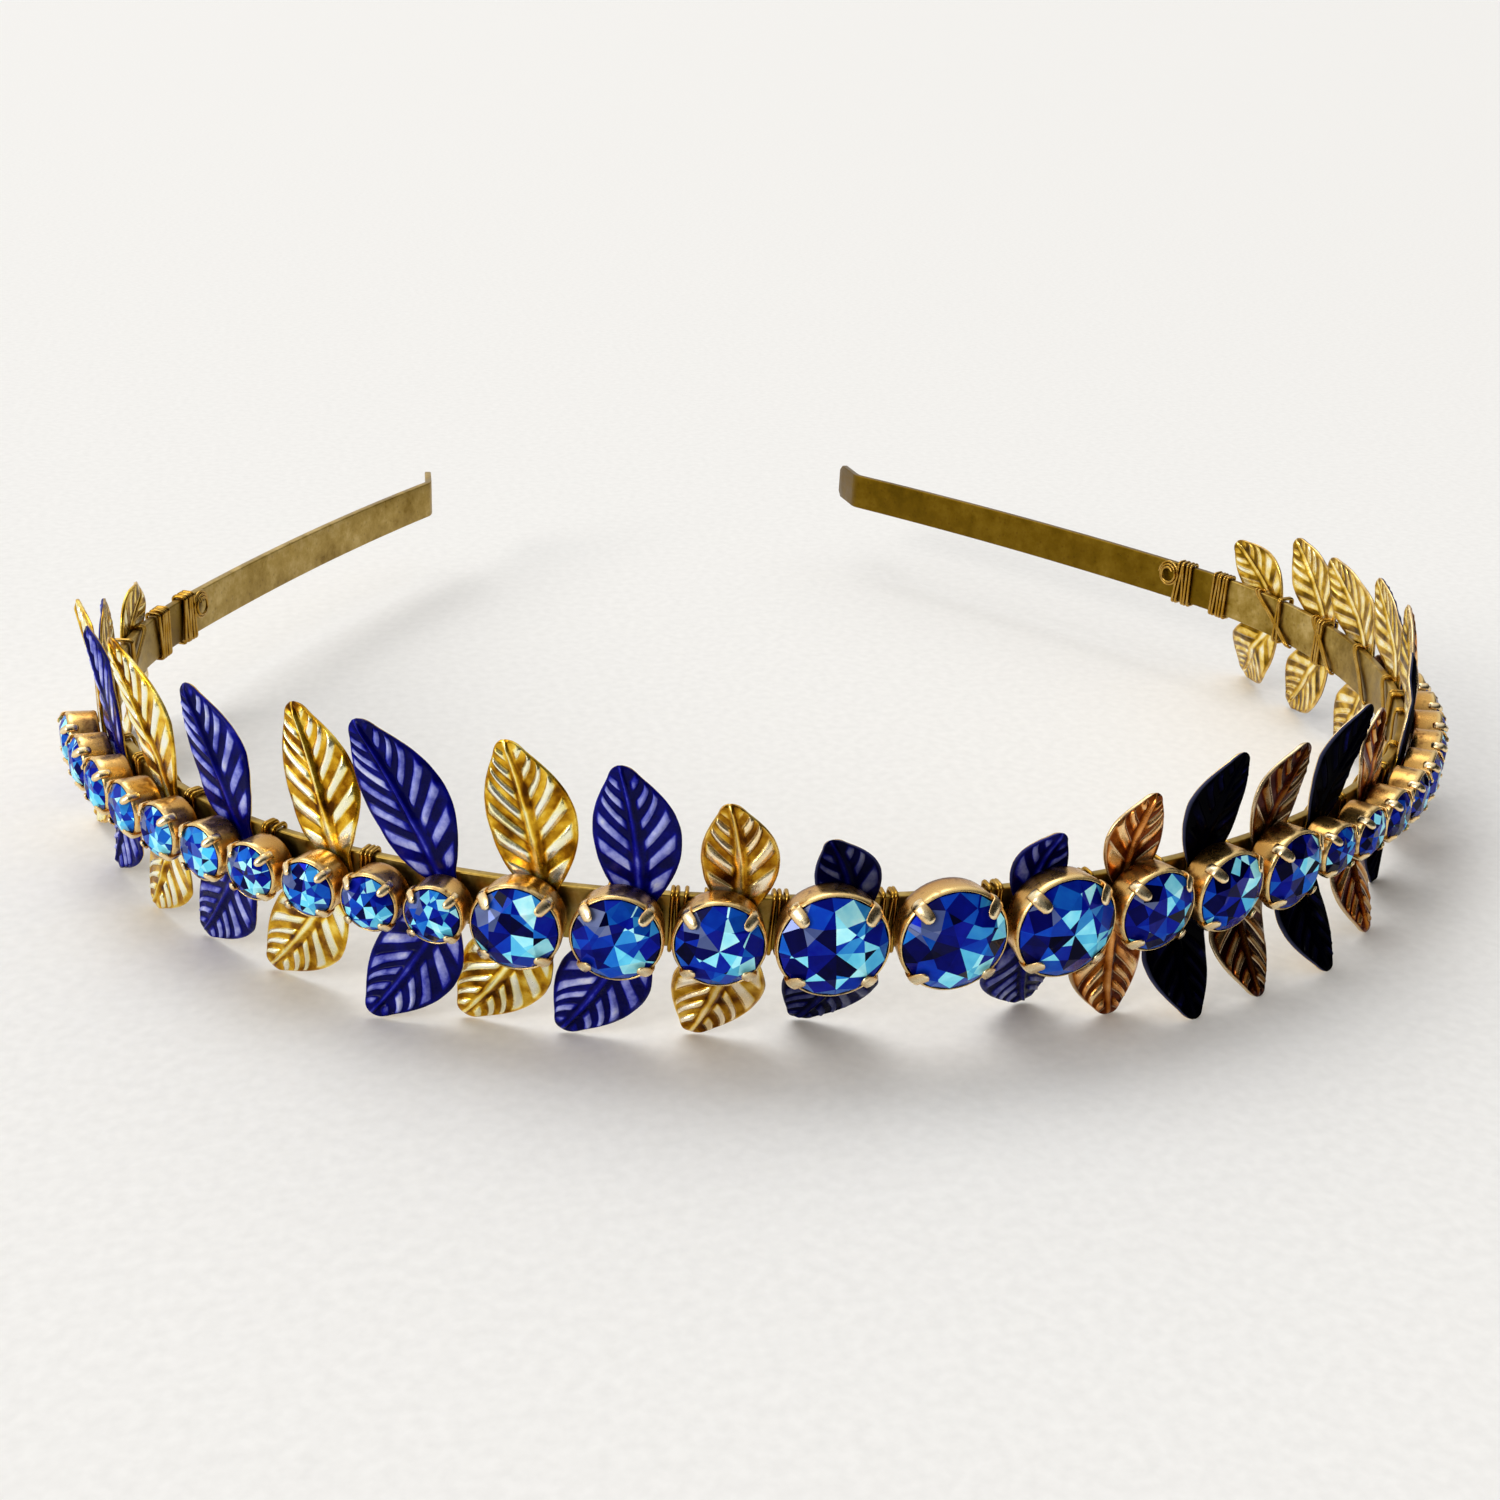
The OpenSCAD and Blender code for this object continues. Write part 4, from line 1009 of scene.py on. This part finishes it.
def makeBindingWire():
    turnTree, strandTree = makeTurnTree(), makeStrandTree()
    wire, sides = wires["wire"], wires["wireSides"]
    lay, top = (across / 2 + wires["gap"] + wire / 2 for across in (band["thick"], band["width"]))
    for side, sign in (("left", -1), ("right", 1)):
        parts = []
        for label, over in ((side, 0.0), ("over" + side.capitalize(), wires["overWaist"])):
            places = [sign * (s - k * wires["pitch"]) for s, turns in wires[label] for k in range(turns)]
            source = lineObject(label + "Turns", [[fromBand(s, (0, 0, 0))] for s in places],
                                {"heading": [bandPlan(s)[2] for s in places]})
            parts.append(runTree(turnTree, source, label + "WireTurns", {
                "Wire": wire * mm, "Width": 2 * top * mm, "Depth": (2 * lay + over) * mm,
                "Shift": -over / 2 * mm, "Wire sides": sides, "Sway": math.radians(wires["sway"]),
                "Seed": wires["seed"], "Material": wireGold}))
        source = lineObject(side + "StrandLines", strandRuns(side, sign, lay, top), {})
        parts.append(runTree(strandTree, source, side + "Strands", {
            "Wire": wire * wires["strandWire"] * mm, "Wire sides": sides, "Material": wireGold}))
        dress(joinPieces("bindingWire" + side.capitalize(), parts), "binding_wire_" + side)


makeBindingWire()
print("binding wire made")


# Floor and light

stage = {
    "floorSize": 90.0, "fibre": 1.2, "floorSteps": {0.3: "#eeedeb", 0.7: "#f5f4f2"}, "floorRough": 0.75,
    # toward the light, its spread, strength and colour
    "suns": {"keyLight": ((-0.79, -0.46, 0.42), 24.0, 1.1, (1.0, 0.97, 0.92)),
             "topLight": ((-0.2, 0.45, 0.87), 40.0, 0.9, (1.0, 1.0, 1.0))},
    "skyToward": (-0.45, 0.6, 0.66), "skyRange": (-0.2, 0.6, 0.02, 0.9), "skyColour": "#fbfaf8",
}


def makeFloor():
    material, add, shader, _, fibre = newMaterial("paleMattFloor", (stage["fibre"], 4.0, 0.5))
    tone = add("ValToRGB", [fibre], steps=stage["floorSteps"])
    fill(shader, {"Base Color": tone, "Roughness": stage["floorRough"]})
    half = stage["floorSize"] / 2
    corners = [(x * half, y * half, 0) for x, y in ((-1, -1), (1, -1), (1, 1), (-1, 1))]
    meshObject("paleFloor", corners, [(0, 1, 2, 3)], (material,))


def addSun(name, toward, spread, strength, colour):
    light = bpy.data.lights.new(name, "SUN")
    light.angle, light.energy, light.color = math.radians(spread), strength, colour
    placeObject(name, light).rotation_euler = (-Vector(toward)).to_track_quat("-Z", "Y").to_euler()


def makeWorld():
    # A bright sky above and to the left, falling to a dim room on the right and in front
    world = bpy.data.worlds.new("softStudio")
    world.use_nodes = True
    add = partial(addNode, world.node_tree)
    facing = add("VectorMath", [add("TexCoord", out="Generated"), Vector(stage["skyToward"]).normalized()],
                 "DOT_PRODUCT", out="Value")
    level = add("MapRange", [facing, *stage["skyRange"]], interpolation_type="SMOOTHSTEP")
    fill(world.node_tree.nodes["Background"], {"Color": stage["skyColour"], "Strength": level})
    bpy.context.scene.world = world


makeFloor()
makeWorld()
for name, values in stage["suns"].items():
    addSun(name, *values)
bpy.context.scene.view_settings.view_transform = "Standard"
print("floor and light made")
